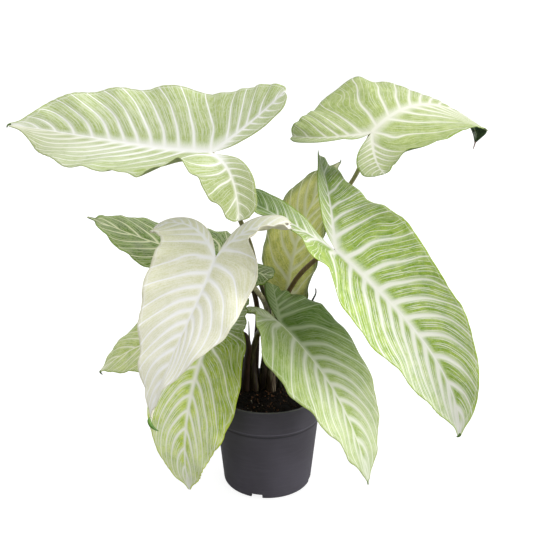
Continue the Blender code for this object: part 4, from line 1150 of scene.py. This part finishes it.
def stem_tree():
    """A round stem along a line of points that carry their own radius."""
    sizes = dict(Sides=STALK_SIDES, Step=STALK_STEP)
    tree, keys, w, given = new_tree("stem_along_points", "Points", sizes, "Stem")
    line = w.node("GeometryNodeMeshToCurve", {"Mesh": given["Points"]}).outputs[0]
    even = w.node("GeometryNodeResampleCurve", {"Curve": line, "Length": given["Step"]}, mode="LENGTH")
    radius = w.node("GeometryNodeInputNamedAttribute", {"Name": "stem_radius"}, data_type="FLOAT")
    sized = w.node("GeometryNodeSetCurveRadius", {"Curve": even.outputs[0], "Radius": radius.outputs[0]})
    ring = w.node("GeometryNodeCurvePrimitiveCircle", {"Resolution": given["Sides"], "Radius": 1.0})
    tube = w.node("GeometryNodeCurveToMesh", {"Curve": sized.outputs[0], "Profile Curve": ring.outputs[0],
                                              "Fill Caps": True})
    if "Scale" in tube.inputs:
        w.join(tube.inputs["Scale"], radius.outputs[0])
    end_tree(w, given, w.node("GeometryNodeSetShadeSmooth", {0: tube.outputs[0]}).outputs[0])
    return tree, keys


def in_use(sockets):
    """The first socket in use, of a node that has one for each kind of value."""
    return next(socket for socket in sockets if socket.enabled)


def scatter_tree():
    """Crumbs strewn over a surface, turned and sized at random."""
    tree, keys, w, given = new_tree("crumbs_on_soil", "Surface", CRUMBS["soil_crumbs"][0], "Crumbs")
    spots = w.node("GeometryNodeDistributePointsOnFaces",
                   {"Mesh": given["Surface"], "Density": given["Density"], "Seed": given["Seed"]})
    ball = w.node("GeometryNodeMeshIcoSphere", {"Radius": 1.0, "Subdivisions": 1})
    wobble = w.node("ShaderNodeTexNoise", {"Scale": CRUMB_WOBBLE, "Detail": 1.0}).outputs["Color"]
    push = w.node("ShaderNodeVectorMath", {0: wobble, 1: (0.5, 0.5, 0.5)}, operation="SUBTRACT")
    dent = w.node("ShaderNodeVectorMath", {0: push.outputs[0], "Scale": CRUMB_DENT}, operation="SCALE")
    crumb = w.node("GeometryNodeSetPosition", {"Geometry": ball.outputs[0], "Offset": dent.outputs[0]})
    spin = w.node("FunctionNodeRandomValue", {"Max": (6.28, 6.28, 6.28), "Seed": given["Seed"]},
                  data_type="FLOAT_VECTOR")
    size = w.node("FunctionNodeRandomValue", data_type="FLOAT")
    drawn = {"Min": "Smallest", "Max": "Largest", "Seed": "Seed"}
    for socket in size.inputs:
        if socket.enabled and socket.name in drawn:
            w.join(socket, given[drawn[socket.name]])
    wide = in_use(size.outputs)
    low = w.times(wide, given["Flatness"])
    scale = w.node("ShaderNodeCombineXYZ", {0: wide, 1: low, 2: low}).outputs[0]
    strewn = w.node("GeometryNodeInstanceOnPoints", {
        "Points": spots.outputs["Points"], "Instance": crumb.outputs[0],
        "Rotation": in_use(spin.outputs), "Scale": scale})
    end_tree(w, given, strewn.outputs[0])
    return tree, keys


def made_by(tree, keys, mesh, name, settings):
    """Run a tree over a mesh and keep what it makes as a plain mesh."""
    guide = place(name + "_guide", mesh)
    maker = guide.modifiers.new("maker", "NODES")
    maker.node_group = tree
    for key, value in settings.items():
        maker[keys[key]] = value
    made = settled(guide)
    guide.modifiers.clear()
    bpy.data.objects.remove(guide, do_unlink=True)
    made.name = name
    return place(name, made)


def make_stem(name, path, radii, mat, stem, step=STALK_STEP):
    mesh = bpy.data.meshes.new(name)
    mesh.from_pydata(path, [(i, i + 1) for i in range(len(path) - 1)], [])
    layer = mesh.attributes.new("stem_radius", "FLOAT", "POINT")
    layer.data.foreach_set("value", np.asarray(radii, np.float32))
    return made_by(*stem, mesh, name, dict(Sides=STALK_SIDES, Step=step, Finish=mat))


def make_tail(title, leaf, points, radii, colours, stem):
    """A thin tapered tail on the end of a blade."""
    end = midrib_line(LEAVES[leaf])[-1]
    line = end + np.array(points) * MM
    chords = np.linalg.norm(np.diff(line, axis=0), axis=1)
    along = np.concatenate([[0], np.cumsum(chords)]) / chords.sum()
    where = np.linspace(0, 1, TIP_POINTS)
    path = np.stack([smooth(where, along, line[:, i]) for i in range(3)], -1)
    mat = stalk_material(title, *colours, end[2] - TIP_FADE, end[2] + TIP_FADE)
    return make_stem(title, path, np.interp(where, along, radii) * MM, mat, stem, TIP_STEP)


def rounded(corners, radius, steps=4):
    """A profile whose inner corners are rounded by up to a radius."""
    out = [corners[0]]
    for before, here, after in zip(corners, corners[1:], corners[2:]):
        p, q, r = (np.array(c, float) for c in (before, here, after))
        to_p, to_r = np.linalg.norm(p - q), np.linalg.norm(r - q)
        reach = min(radius, 0.45 * to_p, 0.45 * to_r)
        start = q + (p - q) / to_p * reach
        end = q + (r - q) / to_r * reach
        for x in np.linspace(0, 1, steps + 1):
            out.append(tuple((1 - x) ** 2 * start + 2 * x * (1 - x) * q + x * x * end))
    return out + [corners[-1]]


def lathe(name, profile, sides):
    """A closed solid of revolution from (radius, z) points, its first and last on the axis."""
    angles = np.arange(sides) * 2 * math.pi / sides
    verts, rings = [], []
    for r, z in profile:
        if r == 0:
            rings.append([len(verts)] * sides)
            verts.append((0.0, 0.0, z))
        else:
            rings.append(list(range(len(verts), len(verts) + sides)))
            verts += [(r * math.cos(x), r * math.sin(x), z) for x in angles]
    faces = []
    for low, high in zip(rings, rings[1:]):
        for i in range(sides):
            j = (i + 1) % sides
            ring = [low[i], low[j], high[j], high[i]]
            faces.append([v for k, v in enumerate(ring) if v != ring[k - 1]])
    mesh = bpy.data.meshes.new(name)
    mesh.from_pydata(verts, [], faces)
    shape = bmesh.new()
    shape.from_mesh(mesh)
    bmesh.ops.recalc_face_normals(shape, faces=shape.faces)
    shape.to_mesh(mesh)
    shape.free()
    soften(mesh)
    return mesh


def pot_profile():
    """The pot's section from the middle of its floor over the rim to the middle of its base."""
    inner_foot = POT_FOOT_RADIUS - POT_WALL
    inner_step = POT_STEP_RADIUS - POT_WALL
    ring = POT_FOOT_RADIUS - POT_FOOT_ROUND
    inside = [(0, POT_FLOOR), (inner_foot - POT_FLOOR_CORNER, POT_FLOOR),
              (inner_foot, POT_FLOOR + POT_FLOOR_CORNER), (inner_step, POT_STEP_HEIGHT - 1 * MM),
              (inner_step + POT_BAND, POT_STEP_HEIGHT + 2 * MM)]
    lip = [(POT_RIM_RADIUS - inward * MM, POT_HEIGHT - down * MM) for inward, down in POT_LIP]
    outside = [(POT_STEP_RADIUS + POT_BAND, POT_STEP_HEIGHT + 1.2 * MM),
               (POT_STEP_RADIUS, POT_STEP_HEIGHT - 1 * MM),
               (POT_FOOT_RADIUS + 0.2 * MM, NOTCH_HEIGHT + 1 * MM), (POT_FOOT_RADIUS, POT_FOOT_ROUND)]
    foot = [(ring + POT_FOOT_ROUND * math.sin(a), POT_FOOT_ROUND * (1 - math.cos(a)))
            for a in np.radians(POT_FOOT_STEPS)]
    base = [(ring, 0), (ring - POT_WALL, 0), (ring - POT_WALL, 1 * MM), (ring, POT_BASE - 2 * MM),
            (ring - 1 * MM, POT_BASE), (0, POT_BASE)]
    return rounded(inside + lip + outside, POT_EDGE_ROUND) + foot + base


def make_pot():
    """The pot turned from its section, with notches cut into its foot."""
    pot = place("pot_shell", lathe("pot_shell", pot_profile(), POT_SIDES), pot_material())
    cutters = bpy.data.collections.new("notches")
    bpy.context.scene.collection.children.link(cutters)
    for i in range(NOTCH_COUNT):
        angle = NOTCH_ANGLE + i * 2 * math.pi / NOTCH_COUNT
        shape = bmesh.new()
        bmesh.ops.create_cube(shape, size=1.0)
        bmesh.ops.scale(shape, vec=(NOTCH_DEPTH * 2, NOTCH_WIDTH, NOTCH_HEIGHT * 2), verts=shape.verts)
        mesh = bpy.data.meshes.new("notch")
        shape.to_mesh(mesh)
        shape.free()
        notch = bpy.data.objects.new(f"notch_{i + 1}", mesh)
        notch.location = (POT_FOOT_RADIUS * math.cos(angle), POT_FOOT_RADIUS * math.sin(angle), 0)
        notch.rotation_euler = (0, 0, angle)
        cutters.objects.link(notch)
    knife = pot.modifiers.new("notches", "BOOLEAN")
    knife.operation = "DIFFERENCE"
    knife.operand_type = "COLLECTION"
    knife.collection = cutters
    knife.solver = "EXACT"
    settle(pot)
    for notch in list(cutters.objects):
        bpy.data.objects.remove(notch, do_unlink=True)
    bpy.data.collections.remove(cutters)
    pot.data.set_sharp_from_angle(angle=SHARP_ANGLE)
    return pot


def ring_faces(low, high):
    """Faces between two rings of points."""
    return [(low[i - 1], high[i - 1], high[i], low[i]) for i in (*range(1, len(low)), 0)]


def make_soil():
    """Soil with small lumps that fills the pot, and its top alone for the crumbs."""
    random = np.random.default_rng(SOIL_SEED)
    inset = POT_WALL + SOIL_GAP
    band = POT_STEP_RADIUS + POT_BAND - inset
    wall = [(POT_FOOT_RADIUS - inset - 4.4 * MM, POT_FLOOR + 0.3 * MM),
            (POT_FOOT_RADIUS - inset - 0.2 * MM, POT_FLOOR + 4.5 * MM),
            (POT_STEP_RADIUS - inset - 0.2 * MM, POT_STEP_HEIGHT - 1 * MM),
            (band - 0.3 * MM, POT_STEP_HEIGHT + 3 * MM)]
    lumps = [(random.uniform(-1, 1, 2) * SOIL_LUMP_PLACE, random.uniform(*SOIL_LUMP_WIDTH) * MM,
              random.uniform(*SOIL_LUMP_RISE) * MM) for _ in range(SOIL_LUMPS)]
    radii = (band + 1 * MM) * np.linspace(0, 1, SOIL_RINGS)[1:]
    angles = np.arange(SOIL_SIDES) * 2 * math.pi / SOIL_SIDES
    x = np.concatenate([[0.0], np.outer(radii, np.cos(angles)).ravel()])
    y = np.concatenate([[0.0], np.outer(radii, np.sin(angles)).ravel()])
    z = SOIL_CROWN - (SOIL_CROWN - SOIL_EDGE) * np.minimum(1, np.hypot(x, y) / POT_STEP_RADIUS) ** 2
    lift = sum(high * np.exp(-((x - c[0]) ** 2 + (y - c[1]) ** 2) / wide ** 2) for c, wide, high in lumps)
    z = z + np.clip(lift, -SOIL_LUMP_MOST, SOIL_LUMP_MOST) - SOIL_LOW
    verts = list(zip(x, y, z))
    rings = np.arange(1, len(verts)).reshape(-1, SOIL_SIDES).tolist()
    faces = [(0, rings[0][i - 1], rings[0][i]) for i in (*range(1, SOIL_SIDES), 0)]
    for low, high in zip(rings, rings[1:]):
        faces += ring_faces(low, high)
    top = bpy.data.meshes.new("soil_top")
    top.from_pydata(verts, [], faces)
    last = rings[-1]
    for r, height in reversed(wall):
        here = list(range(len(verts), len(verts) + SOIL_SIDES))
        verts += [(r * math.cos(v), r * math.sin(v), height) for v in angles]
        faces += ring_faces(last, here)
        last = here
    faces.append(tuple(reversed(last)))
    mesh = bpy.data.meshes.new("soil_fill")
    mesh.from_pydata(verts, [], faces)
    soften(mesh)
    return place("soil_fill", mesh, earth_material("peat", *PEAT)), top


def make_sheath():
    """A dry bract, a thin gutter that narrows and leans outwards."""
    rows, columns = SHEATH_GRID
    bulge, follows = SHEATH_BULGE
    points = []
    for t in np.linspace(0, 1, rows):
        middle = SHEATH_FOOT[0] - SHEATH_LEAN * max(0.0, t - SHEATH_UPRIGHT) ** 2
        wide = SHEATH_WIDTH / 2 * math.sin(math.pi * (bulge + follows * t)) + SHEATH_LEAST
        height = SOIL_CROWN - SHEATH_SUNK + SHEATH_LENGTH * t
        for a in np.linspace(-math.pi / 2, math.pi / 2, columns):
            crease = SHEATH_CREASE * math.sin(9 * a + 7 * t)
            x = middle + SHEATH_DEEP * wide * (1 - 2 * math.cos(a)) + crease
            rag = SHEATH_RAG * math.sin(5 * a + 2) * t
            points.append((x, SHEATH_FOOT[1] + wide * math.sin(a), height + rag))
    sheath = sheet_of("sheath_husk", points, SHEATH_GRID, sheath_material(), flip=True)
    thicken(sheath, SHEATH_THICK, 0.0)
    return sheath


def dress(piece, node):
    """The piece rides on the one body and hides the CAD node it stands for, if there is one."""
    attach(piece, "root")
    if node:
        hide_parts(node)


def build_plant():
    stem = stem_tree()
    for name in LEAVES:
        dress(place("blade_" + name, make_blade(name), leaf_material(name)), "leaf_" + name)
        path = rooted(follow_stalk(name))
        slim = np.exp(-np.maximum(0.0, path[:, 2] - SOIL_CROWN) / STALK_SHEATH)
        radii = STALK_TOP_RADIUS + slim * (STALK_FOOT_RADIUS - STALK_TOP_RADIUS)
        light_from = max(STALK_LIGHT_LEAST, path[-1][2] - STALK_LIGHT_TOP)
        mat = stalk_material("petiole_" + name, *STALK_LOOKS[name], STALK_DARK_TO, light_from)
        dress(make_stem("petiole_" + name, path, radii, mat, stem), "stalk_" + name)

    even = np.linspace(0, 1, SHOOT_POINTS)
    for node, (points, radii, colours) in SHOOTS.items():
        lean = Vector(points[-1]) - Vector(points[-2])
        path = rooted(follow([Vector(p) * MM for p in points], lean.normalized(), SHOOT_POINTS))
        radii = np.interp(even, np.linspace(0, 1, len(radii)), radii) * MM
        mat = stalk_material(node, *colours, *SHOOT_FADE)
        dress(make_stem(node + "_stem", path, np.concatenate([radii[:1], radii]), mat, stem), node)
    dress(make_sheath(), "sheath_dry")

    for name, (points, radii) in TIPS.items():
        colours = WHITE_LEAF_TIP if name == "front_white" else TIP_COLOURS
        dress(make_tail("tip_" + name, name, points, radii, colours, stem), None)
    dress(make_flap("tip_flap_top_right"), None)
    tail = make_tail("tip_top_right", "top_right", FLAP_TAIL, FLAP_TAIL_RADII, FLAP_TAIL_COLOURS, stem)
    dress(tail, None)


def build_pot():
    dress(make_pot(), "pot")
    soil, top = make_soil()
    dress(soil, "soil")
    scatter = scatter_tree()
    for name, (sizes, look) in CRUMBS.items():
        settings = {**sizes, "Finish": earth_material(*look)}
        dress(made_by(*scatter, top.copy(), name, settings), None)


def build_studio():
    """A pale floor, soft light from the right and above, and the camera."""
    shape = bmesh.new()
    bmesh.ops.create_circle(shape, cap_ends=True, segments=64, radius=FLOOR_RADIUS)
    mesh = bpy.data.meshes.new("studio_floor")
    shape.to_mesh(mesh)
    shape.free()
    mat, w, shader = new_material("studio_floor", 0.95, 0.0)
    shader.inputs["Base Color"].default_value = (FLOOR_SHADE, FLOOR_SHADE, FLOOR_SHADE, 1.0)
    shader.inputs["Emission Color"].default_value = WHITE
    seen = w.node("ShaderNodeLightPath").outputs["Is Camera Ray"]
    w.join(shader.inputs["Emission Strength"], w.times(seen, FLOOR_GLOW))
    floor = place("studio_floor", mesh, mat)
    floor.location = (0, 0, -FLOOR_DROP)

    world = bpy.data.worlds.new("studio")
    world.use_nodes = True
    sky = Wiring(world.node_tree)
    light = world.node_tree.nodes["Background"]
    light.inputs["Color"].default_value = WHITE
    way = sky.split(sky.node("ShaderNodeTexCoord").outputs["Generated"])
    aside = sky.ramp(way[0], -0.8, 0.7, SKY_LEFT, SKY_RIGHT)
    above = sky.ramp(way[2], 0.0, 0.9, 0.0, SKY_ABOVE)
    sky.join(light.inputs["Strength"], sky.plus(aside, above))
    backdrop = sky.node("ShaderNodeBackground", {"Color": WHITE, "Strength": SKY_SEEN})
    seen = sky.node("ShaderNodeLightPath").outputs["Is Camera Ray"]
    both = sky.node("ShaderNodeMixShader", {0: seen, 1: light.outputs[0], 2: backdrop.outputs[0]})
    sky.join(world.node_tree.nodes["World Output"].inputs[0], both.outputs[0])
    bpy.context.scene.world = world

    for name, spot, strength, spread in STUDIO_SUNS:
        lamp = bpy.data.lights.new(name, "SUN")
        lamp.energy = strength
        lamp.angle = math.radians(spread)
        sun = place(name, lamp)
        sun.location = spot
        sun.rotation_euler = (-Vector(spot)).to_track_quat("-Z", "Y").to_euler()

    lens = bpy.data.cameras.new("camera")
    lens.lens = CAMERA_LENS
    lens.sensor_width = 36.0
    camera = place("camera", lens)
    camera.location = CAMERA_PLACE
    camera.rotation_euler = (math.pi / 2 - CAMERA_DOWN, 0, 0)
    bpy.context.scene.camera = camera
    bpy.context.scene.view_settings.view_transform = "Standard"


build_studio()
build_plant()
build_pot()
